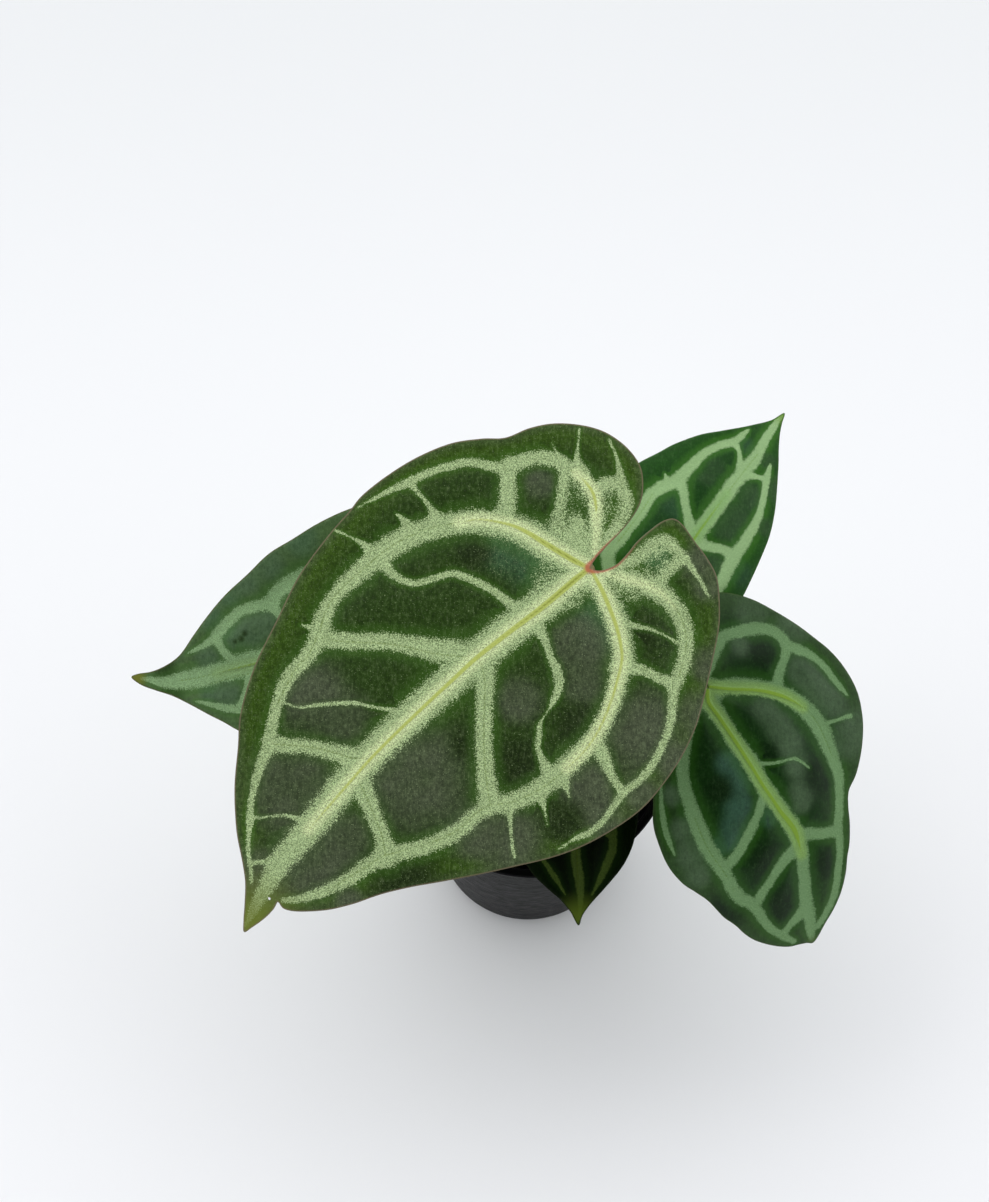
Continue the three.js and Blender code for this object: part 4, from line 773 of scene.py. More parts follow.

# %% [markdown]
# ## The skin of a leaf
#
# The panels are dark green and velvety, with patches of painted grey and bluish sheen and of
# painted shade, and fresher near the margin. The bands are pale, made of fine crystal-like specks
# with dark gaps, and end in streaks.
# Pictures would blur close up, so all of it is mixed from the marks on the points and from noise,
# one step after another. A small class keeps each step to one line: every method adds a node,
# wires it and hands back its output.

# %% A small kit for wiring nodes
class Skin:
    """Builds one material, step by step."""

    def __init__(self, name):
        self.material = bpy.data.materials.new(name)
        self.material.use_nodes = True
        self.tree = self.material.node_tree
        self.shader = self.tree.nodes["Principled BSDF"]

    def node(self, kind, **settings):
        made = self.tree.nodes.new("ShaderNode" + kind)
        for key, value in settings.items():
            setattr(made, key, value)
        return made

    def put(self, value, socket):
        if isinstance(value, bpy.types.NodeSocket):
            self.tree.links.new(value, socket)
        elif isinstance(value, (tuple, list)) and socket.type == "RGBA":
            socket.default_value = (*value[:3], 1)
        else:
            socket.default_value = value

    def math(self, operation, a, b):
        made = self.node("Math", operation=operation)
        self.put(a, made.inputs[0])
        self.put(b, made.inputs[1])
        return made.outputs[0]

    def plus(self, a, b):
        return self.math("ADD", a, b)

    def minus(self, a, b):
        return self.math("SUBTRACT", a, b)

    def times(self, a, b):
        return self.math("MULTIPLY", a, b)

    def ramp(self, value, low, high, out_low=0.0, out_high=1.0):
        made = self.node("MapRange", interpolation_type="SMOOTHSTEP")
        for socket, given in zip(made.inputs, (value, low, high, out_low, out_high)):
            self.put(given, socket)
        return made.outputs[0]

    def attribute(self, name):
        return self.node("Attribute", attribute_name=name)

    def parts(self, vector):
        made = self.node("SeparateXYZ")
        self.put(vector, made.inputs[0])
        return made.outputs

    def stretch(self, vector, scale):
        made = self.node("VectorMath", operation="MULTIPLY")
        self.put(vector, made.inputs[0])
        made.inputs[1].default_value = scale
        return made.outputs[0]

    def place(self, scale=1000.0):
        return self.stretch(self.node("TexCoord").outputs["Object"], (scale,) * 3)

    def grain(self, vector, scale, detail=2.0, rough=0.5):
        made = self.node("TexNoise")
        self.put(vector, made.inputs["Vector"])
        made.inputs["Scale"].default_value = scale
        made.inputs["Detail"].default_value = detail
        made.inputs["Roughness"].default_value = rough
        return made.outputs["Fac"]

    def cells(self, vector, scale):
        made = self.node("TexVoronoi")
        self.put(vector, made.inputs["Vector"])
        made.inputs["Scale"].default_value = scale
        return made.outputs["Distance"]

    def mix(self, share, a, b):
        made = self.node("Mix", data_type="RGBA")
        self.put(share, made.inputs[0])
        self.put(a, made.inputs[6])
        self.put(b, made.inputs[7])
        return made.outputs[2]

    def bump(self, height, depth_mm, strength=1.0, before=None):
        made = self.node("Bump")
        made.inputs["Strength"].default_value = strength
        made.inputs["Distance"].default_value = depth_mm * MM
        self.put(height, made.inputs["Height"])
        if before is not None:
            self.put(before, made.inputs["Normal"])
        return made.outputs["Normal"]

    def done(self, colour, rough, normal=None, **fixed):
        self.put(colour, self.shader.inputs["Base Color"])
        self.put(rough, self.shader.inputs["Roughness"])
        if normal is not None:
            self.put(normal, self.shader.inputs["Normal"])
        for key, value in fixed.items():
            self.shader.inputs[key.replace("_", " ")].default_value = value
        return self.material


def scaled(tone, *factors):
    """A colour times one factor, or times one factor each for red, green and blue."""
    factors = factors * 3 if len(factors) == 1 else factors
    return tuple(part * factor for part, factor in zip(tone, factors))


print("half of a pale green is", scaled((0.3, 0.4, 0.2), 0.5))

# %% [markdown]
# The marks that were stored on the points are read once and handed on, with the grains that
# several steps share, so that specks in the colour and bumps in the surface fall together.

# %% Read the marks of a blade
def read_marks(skin):
    """What the points of a blade know, and the grains that several steps share."""
    marks = SimpleNamespace(place=skin.place())
    marks.edge, marks.width, marks.yellow = skin.parts(skin.attribute("vein").outputs["Vector"])
    marks.rim, marks.blush, marks.to_tip = skin.parts(skin.attribute("edge_of_leaf").outputs["Vector"])
    # the tint attribute holds painted grey sheen, painted bluish sheen and painted shade
    marks.greyer, marks.bluer, marks.darker = skin.parts(skin.attribute("tint").outputs["Vector"])
    marks.flow = skin.attribute("flow").outputs["Vector"]
    marks.faint = skin.attribute("faint").outputs["Fac"]
    marks.under = skin.attribute("under").outputs["Fac"]
    marks.velvet = skin.grain(marks.place, 0.9, 5, 0.8)
    marks.crystal = skin.grain(marks.place, 3.2, 1.5, 0.6)
    marks.specks = skin.minus(marks.crystal, 0.5)
    return marks


print("attributes on a blade:", len(blades["front"].data.attributes))

# %% [markdown]
# The edge of a band is ragged on the plant: streaks run straight out from the vein, and specks
# lie over them. A hard edge that is shifted by noise gives that. The shift grows with the width of
# the band, so that thin veins keep their line.

# %% Fray the edge of the bands
def fray_bands(skin, marks, sparkle):
    """Adds how far a spot lies outside its band, in widths of the fringe, and its share of band."""
    streaks = skin.minus(skin.grain(skin.stretch(marks.flow, (2.3, 0.5, 1)), 1.0, 3, 0.7), 0.5)
    clumps = skin.minus(skin.grain(marks.place, 0.6, 2, 0.5), 0.5)
    reach = skin.plus(skin.times(skin.math("MINIMUM", marks.width, 2.6), 0.55), 0.12)
    wander = skin.times(skin.plus(streaks, clumps), reach)
    fringe = skin.plus(skin.times(skin.math("MINIMUM", marks.width, 3.0), 0.40), 0.14)
    marks.outside = skin.math("DIVIDE", skin.plus(marks.edge, wander), fringe)
    likely = skin.ramp(marks.outside, 1.5, -1.2)
    marks.band = skin.ramp(skin.plus(likely, skin.times(marks.specks, 2.0 * sparkle)), 0.25, 0.9)


print("a band 4 mm wide has a fringe of", round(2 * 0.40 + 0.14, 2), "mm")

# %% [markdown]
# The panels start from two greens, one for the middle and one for the rim. A painted grey sheen
# lies near the margin, and the patches of the plan paint grey and bluish sheen and shade on them.
# Fine velvet and a lengthwise nap break them up, and a few bright specks lie on top, more of them
# in the painted bluish sheen. A flat colour with a bump would be simpler, but it looks like paint.

# %% Colour the panels
BLACK = (0, 0, 0)


def panel_colour(skin, marks, tones):
    drift = skin.grain(marks.place, 0.07, 3, 0.55)
    green = skin.mix(skin.ramp(marks.rim, 11.0, 1.5, 0.0, 0.95), tones.panel, tones.rim_green)
    # painted grey sheen near the margin
    green = skin.mix(skin.ramp(marks.rim, 3.0, 0.5, 0.0, 0.35 * tones.sparkle), green, tones.slate)
    # painted bluish sheen, painted grey sheen and painted shade from the patches
    green = skin.mix(skin.times(marks.bluer, skin.ramp(drift, 0.3, 0.6, 0.55, 1.0)), green, tones.sea)
    green = skin.mix(skin.times(marks.greyer, skin.ramp(drift, 0.3, 0.6, 0.6, 1.0)), green, tones.slate)
    green = skin.mix(marks.darker, green, tones.deep)
    nap = skin.grain(skin.stretch(marks.place, (1.6, 0.35, 0.5)), 1.0, 4, 0.75)
    grit = 0.25 + 0.75 * tones.sparkle
    for grain, low, high, amount, share, towards in (
            (marks.velvet, 0.6, 0.34, 0.6, 0.75, BLACK),
            (marks.velvet, 0.5, 0.68, 0.6, 0.16, tones.pale),
            (nap, 0.52, 0.7, 0.4, 0.3, tones.pale),
            (nap, 0.5, 0.32, 0.5, 0.6, BLACK)):
        touched = skin.mix(share, green, towards)
        green = skin.mix(skin.ramp(grain, low, high, 0.0, amount * grit), green, touched)
    # pale specks on the panels, with more of them where the bluish sheen is painted
    dust = skin.times(skin.ramp(marks.specks, 0.02, 0.2), skin.plus(marks.bluer, 0.15))
    dusted = skin.mix(0.4, green, tones.pale)
    green = skin.mix(skin.times(dust, 0.28 * tones.sparkle), green, dusted)
    dots = skin.ramp(skin.cells(marks.place, 0.36), 0.06, 0.02, 0.0, 0.07 * tones.sparkle)
    green = skin.mix(dots, green, tones.pale)
    halo = skin.ramp(marks.outside, 4.0, 0.8, 0.0, 0.3)
    halo = skin.times(halo, skin.ramp(marks.greyer, 0.0, 1.0, 1.0, 0.3))
    return skin.mix(halo, green, scaled(tones.shade, 0.45, 0.8, 0.2))


print("panels are mixed in 12 steps")

# %% [markdown]
# The pale tissue glitters on the plant, because its cells stand like crystals. Three tones, dark
# gaps, pale tissue and bright specks, are sorted by the same fine grain, and thin threads run
# along the vein. The bright specks are that glitter, painted in as highlights.

# %% Colour the bands
def tissue_colour(skin, marks, tones):
    bright = scaled(tones.pale, 1 + 0.65 * tones.sparkle)
    dim = tuple(p + 0.78 * (s - p) * tones.sparkle for p, s in zip(tones.pale, tones.shade))
    tissue = skin.mix(skin.ramp(marks.specks, -0.11, 0.02), dim, tones.pale)
    # painted highlights: the bright specks of glitter
    tissue = skin.mix(skin.ramp(marks.specks, 0.0, 0.16), tissue, bright)
    middle = skin.ramp(marks.edge, 0.3, -3.0)
    tissue = skin.mix(skin.times(middle, 0.16), tissue, bright)
    thread = skin.grain(skin.stretch(marks.flow, (0.22, 2.4, 1)), 1.0, 3, 0.6)
    return skin.mix(skin.ramp(thread, 0.56, 0.7, 0.0, 0.3), tissue, scaled(tones.shade, 1.2, 1.1, 1))


print("bands are mixed in 4 steps")

# %% [markdown]
# A yellow-green line runs down the strongest veins, with a groove in its middle and cream tissue
# beside it. Finer veins have only a thin olive groove. Both follow lines of the plan, so the
# distance to them is all that is needed.

# %% Draw the lines down the veins
def add_lines(skin, marks, tones, colour):
    fine = skin.ramp(marks.faint, 0.34, 0.08, 0.0, 0.55)
    colour = skin.mix(skin.times(fine, marks.band), colour, scaled(tones.shade, 1.1, 1.02, 0.42))
    beside = skin.ramp(marks.yellow, 2.6, 0.3, 0.0, 0.75)
    cream = skin.mix(skin.ramp(marks.specks, -0.12, 0.12), scaled(tones.cream, 1 - 0.35 * tones.sparkle),
                     scaled(tones.cream, 1 + 0.25 * tones.sparkle))
    colour = skin.mix(skin.times(beside, marks.band), colour, cream)
    depth = 0.96 - 0.28 * tones.sparkle
    groove = scaled(tones.cream, depth, depth, 0.25)
    colour = skin.mix(skin.ramp(marks.yellow, 0.2, -0.25, 0.0, 0.85), colour, groove)
    core = scaled(tones.shade, 1.3, 0.95, 0.0)
    return skin.mix(skin.ramp(marks.yellow, -0.4, -0.7, 0.0, tones.core), colour, core)


print("lines: fine, cream, groove and core")

# %% [markdown]
# The edge of the sinus is red on the plant, the tip is olive and the margin is a thin brown
# line. The underside is paler and plain, with raised green ribs. They are mixed last, so that
# nothing covers them.

# %% Finish the edges and the underside
SINUS_RED = (0.44, 0.10, 0.065)
UNDER_DARK, UNDER_LIGHT, UNDER_RIB = (0.10, 0.19, 0.055), (0.15, 0.25, 0.09), (0.24, 0.34, 0.13)


def add_edges(skin, marks, tones, colour):
    colour = skin.mix(skin.ramp(marks.blush, 0.15, 0.8, 0.0, tones.red), colour, SINUS_RED)
    colour = skin.mix(skin.ramp(marks.to_tip, tones.tip_reach, 1.0, 0.0, 0.85), colour, tones.tip)
    colour = skin.mix(skin.ramp(marks.rim, 0.5, 0.12, 0.0, 0.7), colour, tones.margin)
    ribs = skin.ramp(marks.edge, 0.6, -0.8, 0.0, 0.6)
    below = skin.mix(ribs, skin.mix(marks.velvet, UNDER_DARK, UNDER_LIGHT), UNDER_RIB)
    return skin.mix(marks.under, colour, below)


print("edges: sinus, tip, margin and underside")

# %% [markdown]
# The velvet, the crystals and the grooves are too fine for the mesh, so they are bumps. The
# bands are a little rougher than the panels. Each leaf then gets its own set of tones: the front
# one is the brightest and greyest, with the most painted grey sheen, the ones behind are greener
# and darker, and the young leaf's tones carry painted shade.

# %% Put the skin together
def leaf_relief(skin, marks):
    normal = skin.bump(marks.velvet, 0.10, 0.6)
    normal = skin.bump(skin.times(marks.crystal, marks.band), 0.10, 0.5, normal)
    normal = skin.bump(skin.ramp(marks.yellow, 0.5, -0.3), 0.3, 0.8, normal)
    return skin.bump(skin.ramp(marks.faint, 0.6, 0.0), -0.12, 0.6, normal)


def leaf_skin(name, tones):
    skin = Skin(name)
    marks = read_marks(skin)
    fray_bands(skin, marks, tones.sparkle)
    colour = skin.mix(marks.band, panel_colour(skin, marks, tones), tissue_colour(skin, marks, tones))
    colour = add_lines(skin, marks, tones, colour)
    colour = add_edges(skin, marks, tones, colour)
    rough = skin.plus(skin.times(marks.band, 0.12),
                      skin.ramp(marks.velvet, 0.3, 0.7, tones.rough - 0.05, tones.rough + 0.07))
    return skin.done(colour, rough, leaf_relief(skin, marks), Specular_IOR_Level=tones.shine)


def dress(piece, material):
    piece.data.materials.clear()
    piece.data.materials.append(material)


# In every palette the grey and the bluish patch tones are painted sheen, and deep is painted shade.
PALETTES = {
    "front": SimpleNamespace(
        panel=(0.019, 0.049, 0.003), rim_green=(0.038, 0.089, 0.003), slate=(0.071, 0.091, 0.048),
        sea=(0.040, 0.105, 0.045), deep=(0.012, 0.028, 0.002), pale=(0.312, 0.402, 0.2),
        shade=(0.11, 0.18, 0.055), cream=(0.62, 0.71, 0.37), tip=(0.155, 0.19, 0.028), tip_reach=21,
        red=0.85, margin=(0.17, 0.13, 0.08), sparkle=1, core=0.6, rough=0.55, shine=0.12),
    "left": SimpleNamespace(
        panel=(0.058, 0.116, 0.035), rim_green=(0.066, 0.128, 0.037), slate=(0.070, 0.130, 0.060),
        sea=(0.064, 0.130, 0.056), deep=(0.014, 0.038, 0.003), pale=(0.20, 0.32, 0.15),
        shade=(0.10, 0.19, 0.07), cream=(0.20, 0.32, 0.12), tip=(0.15, 0.16, 0.01), tip_reach=5, red=0.5,
        margin=(0.07, 0.075, 0.015), sparkle=0.6, core=0, rough=0.5, shine=0.14),
    "back": SimpleNamespace(
        panel=(0.003, 0.045, 0.0), rim_green=(0.007, 0.064, 0.0), slate=(0.022, 0.066, 0.016),
        sea=(0.014, 0.062, 0.018), deep=(0.001, 0.026, 0.0), pale=(0.27, 0.42, 0.19),
        shade=(0.15, 0.29, 0.09), cream=(0.23, 0.41, 0.14), tip=(0.15, 0.28, 0.04), tip_reach=6, red=0,
        margin=(0.03, 0.09, 0.01), sparkle=0.3, core=0, rough=0.5, shine=0.12),
    "right": SimpleNamespace(
        panel=(0.003, 0.025, 0.001), rim_green=(0.018, 0.052, 0.008), slate=(0.056, 0.100, 0.047),
        sea=(0.028, 0.078, 0.046), deep=(0.001, 0.014, 0.0), pale=(0.125, 0.225, 0.095),
        shade=(0.07, 0.15, 0.045), cream=(0.20, 0.34, 0.08), tip=(0.05, 0.09, 0.02), tip_reach=4, red=0,
        margin=(0.03, 0.06, 0.012), sparkle=0.4, core=0, rough=0.42, shine=0.12),
    # The young leaf lies in the front leaf's shade, and that shade is painted into all of its tones.
    "young": SimpleNamespace(
        panel=(0.0003, 0.002, 0.0), rim_green=(0.001, 0.005, 0.0), slate=(0.001, 0.006, 0.001),
        sea=(0.001, 0.004, 0.0005), deep=(0.0, 0.002, 0.0), pale=(0.034, 0.056, 0.009),
        shade=(0.012, 0.026, 0.003), cream=(0.036, 0.058, 0.010), tip=(0.070, 0.105, 0.009), tip_reach=10,
        red=0, margin=(0.004, 0.009, 0.001), sparkle=0.3, core=0, rough=0.5, shine=0.03),
}
for name, tones in PALETTES.items():
    dress(blades[name], leaf_skin(name + "_leaf_skin", tones))
print(len(PALETTES), "leaf skins")

# %% [markdown]
# ## The stalks
#
# Each blade hangs from its own petiole, which swells into a knee just under the blade. It could be
# extruded by hand along its way, but a curve with a round bevel is simpler: its points carry their
# own radius, so the foot and the knee are only larger numbers. It is turned into a mesh at the end.

# %% A smooth curve in space
STEM_AXIS = (5.0, 2.0)
# each stalk: radius, the direction it leaves the stem in and the height where it does, and the
# points it passes through
STALKS = {
    "front": (1.9, 115, 82, [(1.6, 7.6, 104), (2.4, 12.4, 125)]),
    "left": (1.7, 190, 76, [(-9, 1.5, 98)]),
    "back": (1.6, 55, 71, [(18, 14, 96)]),
    "right": (1.6, -12, 77, [(24, -1, 97)]),
    "young": (1.3, -80, 72, [(7.6, -5.4, 84)]),
}


def space_curve(points, pieces):
    """A centripetal Catmull-Rom curve: it doesn't overshoot where its points lie close."""
    p = [np.array(q, float) for q in points]
    p = [2 * p[0] - p[1]] + p + [2 * p[-1] - p[-2]]
    out = []
    for i in range(1, len(p) - 2):
        a, b, c, d = p[i - 1:i + 3]
        t0 = 0.0
        t1 = t0 + max(1e-6, np.linalg.norm(b - a)) ** 0.5
        t2 = t1 + max(1e-6, np.linalg.norm(c - b)) ** 0.5
        t3 = t2 + max(1e-6, np.linalg.norm(d - c)) ** 0.5
        for k in range(pieces):
            t = t1 + (t2 - t1) * k / pieces
            ab = (t1 - t) / (t1 - t0) * a + (t - t0) / (t1 - t0) * b
            bc = (t2 - t) / (t2 - t1) * b + (t - t1) / (t2 - t1) * c
            cd = (t3 - t) / (t3 - t2) * c + (t - t2) / (t3 - t2) * d
            abc = (t2 - t) / (t2 - t0) * ab + (t - t0) / (t2 - t0) * bc
            bcd = (t3 - t) / (t3 - t1) * bc + (t - t1) / (t3 - t1) * cd
            out.append((t2 - t) / (t2 - t1) * abc + (t - t1) / (t2 - t1) * bcd)
    return np.array(out + [p[-2]])


print("stalk radii:", {name: stalk[0] for name, stalk in STALKS.items()}, "mm")

# %% [markdown]
# A stalk leaves the stem at a slant, runs through its points and ends at the blade's sinus, at a
# right angle to the blade. Its radius is a plain sum: it thins out upwards, swells at the knee and
# widens into a sheath at its foot.

# %% Make the stalks
def make_stalk(name):
    radius, azimuth, rise, via = STALKS[name]
    form = forms[name]
    turn = math.radians(azimuth)
    away = np.array([math.cos(turn), math.sin(turn), 0.9])
    away /= np.linalg.norm(away)
    start = np.array([*STEM_AXIS, rise]) + 3.4 * away
    seat = form.place(np.array([0.0]), np.array([0.8]), form.height(0.0, 0.8) + np.array([0.0]))[0] / MM
    end = seat - 0.7 * form.up  # just under the blade's surface, inside its midrib
    path = space_curve([start, *via, seat - 11 * form.up, seat - 5.5 * form.up, end], 12)
    run = np.concatenate([[0], np.cumsum(np.linalg.norm(np.diff(path, axis=0), axis=1))])
    share = run / run[-1]
    to_blade = run[-1] - run
    knee = 0.28 * np.exp(-(((to_blade - 4) / 3.2) ** 2)) - 0.25 * np.exp(-((to_blade / 1.2) ** 2))
    sheath = 0.3 * np.exp(-((share / 0.12) ** 2))
    thick = radius * (1.08 - 0.16 * share + knee + sheath)
    curve = bpy.data.curves.new("stalk_" + name, "CURVE")
    curve.dimensions = "3D"
    curve.bevel_depth = MM
    curve.bevel_resolution = 5
    curve.use_fill_caps = True
    spline = curve.splines.new("POLY")
    spline.points.add(len(path) - 1)
    for point, place, size in zip(spline.points, path * MM, thick):
        point.co = (*place, 1)
        point.radius = size
    piece = bpy.data.objects.new(name + "_stalk", curve)
    bpy.context.collection.objects.link(piece)
    select_only(piece)
    bpy.ops.object.convert(target="MESH")
    piece = bpy.context.object
    bpy.ops.object.mode_set(mode="EDIT")
    bpy.ops.mesh.select_all(action="SELECT")
    bpy.ops.mesh.remove_doubles(threshold=1e-6)
    bpy.ops.mesh.normals_make_consistent(inside=False)
    bpy.ops.object.mode_set(mode="OBJECT")
    bpy.ops.object.shade_smooth()
    spots = points_of(piece.data) / MM
    nearest = np.argmin(np.linalg.norm(spots[:, None] - path[None], axis=2), axis=1)
    store(piece.data, "from_foot", run[nearest])
    store(piece.data, "from_knee", to_blade[nearest])
    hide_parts("petiole_" + name)
    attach(piece, "root")
    print(piece.name, round(float(run[-1])), "mm long")
    return piece


stalks = {name: make_stalk(name) for name in STALKS}

# %% [markdown]
# Stalks are mid green with fine lengthwise streaks and pale flecks. The knee is a little redder,
# and the foot is browner where old sheaths dry on it. Each point knows how far it is from both
# ends, so those two tones need no painting.

# %% The stalk skin
def stalk_skin():
    skin = Skin("stalk_skin")
    place = skin.place()
    from_foot = skin.attribute("from_foot").outputs["Fac"]
    from_knee = skin.attribute("from_knee").outputs["Fac"]
    streak = skin.grain(skin.stretch(place, (2.2, 2.2, 0.25)), 1.0, 3, 0.6)
    fleck = skin.cells(skin.stretch(place, (1.0, 1.0, 0.55)), 0.9)
    colour = skin.mix(streak, (0.075, 0.15, 0.03), (0.16, 0.25, 0.06))
    colour = skin.mix(skin.ramp(fleck, 0.2, 0.08, 0.0, 0.5), colour, (0.36, 0.42, 0.22))
    colour = skin.mix(skin.ramp(from_knee, 7.0, 2.0, 0.0, 0.55), colour, (0.26, 0.13, 0.06))
    colour = skin.mix(skin.ramp(from_foot, 10.0, 1.0, 0.0, 0.6), colour, (0.17, 0.12, 0.05))
    normal = skin.bump(streak, 0.15, 0.6)
    rough = skin.ramp(streak, 0.3, 0.7, 0.38, 0.5)
    return skin.done(colour, rough, normal, Specular_IOR_Level=0.45)


stalk_material = stalk_skin()
for piece in stalks.values():
    dress(piece, stalk_material)
print("stalk skin on", len(stalks), "stalks")

# %% [markdown]
# ## The stem
#
# The stem is a short stub, ringed where old leaves fell. It could be a lathe or a stack of
# cylinders. It is a disc that is extruded ring by ring, each ring a little wider or narrower,
# because the same helper then makes the pot and the bed of mix.

# %% Extrude a round shape ring by ring
SHARP = math.radians(32)  # edges that bend more than this stay crisp


def turned(name, rings, sides, centre=(0.0, 0.0)):
    clear_selection()
    radius, z = rings[0]
    start = (centre[0] * MM, centre[1] * MM, z * MM)
    bpy.ops.mesh.primitive_circle_add(vertices=sides, radius=radius * MM, fill_type="NGON", location=start)
    piece = bpy.context.object
    piece.name = name
    bpy.ops.object.transform_apply(location=True)
    bpy.ops.object.mode_set(mode="EDIT")
    bpy.ops.mesh.select_all(action="SELECT")
    for next_radius, next_z in rings[1:]:
        bpy.ops.mesh.extrude_region_move(TRANSFORM_OT_translate={"value": (0, 0, (next_z - z) * MM)})
        share = next_radius / radius
        middle = (centre[0] * MM, centre[1] * MM, next_z * MM)
        bpy.ops.transform.resize(value=(share, share, 1), center_override=middle)
        radius, z = next_radius, next_z
    bpy.ops.mesh.select_all(action="SELECT")
    bpy.ops.mesh.normals_make_consistent(inside=False)
    bpy.ops.object.mode_set(mode="OBJECT")
    bpy.ops.object.shade_smooth_by_angle(angle=SHARP)
    return piece


print("round shapes stay crisp over", round(math.degrees(SHARP)), "degrees")

# %% [markdown]
# The rings are evenly spaced and a noise pushes the surface in and out a little, as no real stem is
# round. Its colour is a dry brown with fibres around it, and the bark of the mix uses the same
# skin in darker tones.

# %% Make the stem
STEM_FOOT = 50  # height of the stem's foot, deep in the mix, mm
rings = [(5.2, STEM_FOOT)]
for k in range(8):
    z = STEM_FOOT + 2 + k * 3.9
    rings += [(5.5, z), (5.6, z + 1.6), (5.2, z + 2.1), (5.25, z + 2.6)]
rings += [(4.6, 83.4), (3.2, 84.4), (1.2, 84.8)]
stem = turned("stem_stub", rings, 40, STEM_AXIS)
for vertex in stem.data.vertices:
    spot = vertex.co / MM
    push = 0.35 * noise.noise(spot * 0.45) * min(1.0, (spot.z - STEM_FOOT) / 3)
    outward = Vector((spot.x - STEM_AXIS[0], spot.y - STEM_AXIS[1], 0))
    if outward.length > 0.1:
        vertex.co += outward.normalized() * push * MM
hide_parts("stem")
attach(stem, "root")


def bark_skin(name, low, high, scale, rough):
    skin = Skin(name)
    place = skin.place()
    patches = skin.grain(place, scale, 4, 0.65)
    fibre = skin.grain(skin.stretch(place, (0.5, 2.4, 2.4)), 0.7, 3, 0.6)
    colour = skin.mix(skin.ramp(patches, 0.3, 0.7), low, high)
    colour = skin.mix(skin.ramp(fibre, 0.4, 0.62, 0.0, 0.5), colour, scaled(high, 1.5, 1.4, 1.2))
    normal = skin.bump(patches, 0.5, 0.8)
    normal = skin.bump(fibre, 0.25, 0.6, normal)
    return skin.done(colour, rough, normal, Specular_IOR_Level=0.25)


stem.data.materials.append(bark_skin("stem_skin", (0.07, 0.055, 0.025), (0.2, 0.15, 0.08), 0.5, 0.75))
print("stem", len(stem.data.polygons), "faces")

# %% [markdown]
# ## The pot
#
# A thin, tapered nursery pot with a band under its lip. A cone with Solidify would miss the lip,
# so it starts as a disc, which is extruded up the outside, over the lip and down the inside to the
# floor, and the wall closes by itself. Drainage holes are cut with Boolean.

# %% Make the pot
POT_HEIGHT = 80
DRAIN_HOLES = 8
DRAIN_RING = 21  # from the middle of the floor to the middle of a hole, mm
DRAIN_RADIUS = 3.4
POT_RINGS = [
    (28.4, 0.6), (28.8, 0.0), (29.4, 0.25), (29.9, 1.0), (30.1, 1.8), (38.3, 70.4), (38.5, 71.6),
    (38.9, 72.2), (39.8, 72.6), (40.2, 73.0), (40.8, 77.5), (41.1, 77.9), (41.7, 78.2), (42.0, 78.7),
    (42.0, 79.4), (41.7, 79.85), (41.2, 80.0), (40.2, 80.0), (39.7, 79.8), (39.45, 79.2), (39.05, 74.3),
    (38.7, 73.4), (37.5, 71.8), (37.2, 71.0), (29.2, 3.0), (28.6, 2.1), (27.6, 1.7),
]
pot = turned("black_nursery_pot", POT_RINGS, 128)


def drill(radius, depth, spot):
    clear_selection()
    bpy.ops.mesh.primitive_cylinder_add(vertices=40, radius=radius * MM, depth=depth * MM, location=spot)
    return bpy.context.object


def cut_out(piece, cutters):
    for cutter in cutters:
        cut = piece.modifiers.new("hole", "BOOLEAN")
        cut.operation = "DIFFERENCE"
        cut.object = cutter
        cut.solver = "EXACT"
    finish_modifiers(piece)
    for cutter in cutters:
        bpy.data.objects.remove(cutter, do_unlink=True)


drills = []
for k in range(DRAIN_HOLES):
    turn = 2 * math.pi * (k + 0.5) / DRAIN_HOLES
    spot = (DRAIN_RING * MM * math.cos(turn), DRAIN_RING * MM * math.sin(turn), 1 * MM)
    drills.append(drill(DRAIN_RADIUS, 8, spot))
cut_out(pot, drills)
select_only(pot)
bpy.ops.object.shade_smooth_by_angle(angle=SHARP)
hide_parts("nursery_pot")
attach(pot, "root")
print("pot", len(pot.data.polygons), "faces")

# %% [markdown]
# The plastic is black with a soft sheen, a thin film of dust that is thicker low down, and fine
# scuffs round the wall. A single dark colour would look like a hole in the picture.

# %% Colour the pot
def pot_skin():
    skin = Skin("pot_skin")
    place = skin.place()
    dust = skin.grain(place, 0.16, 4, 0.6)
    grit = skin.grain(place, 2.6, 2, 0.6)
    height = skin.parts(place)[2]
    film = skin.times(skin.ramp(dust, 0.45, 0.75), skin.ramp(height, 0.0, POT_HEIGHT, 0.5, 0.15))
    colour = skin.mix(film, (0.002, 0.002, 0.0022), (0.008, 0.0075, 0.007))
    scuffs = skin.grain(skin.stretch(place, (0.3, 0.3, 2.2)), 0.8, 3, 0.7)
    rough = skin.ramp(scuffs, 0.35, 0.65, 0.36, 0.52)
    normal = skin.bump(grit, 0.04, 0.5)
    return skin.done(colour, rough, normal, Specular_IOR_Level=0.04)


dress(pot, pot_skin())
print("pot wears", pot.data.materials[0].name)

# %% [markdown]
# ## The potting mix
#
# The mix is a bed of fines with bark chips pressed into it and a few white grains of perlite. A
# particle system could scatter them, but its result depends on more settings than a loop with a
# seed. The bed is turned like the pot, roughened with noise on top and drilled for the stem.

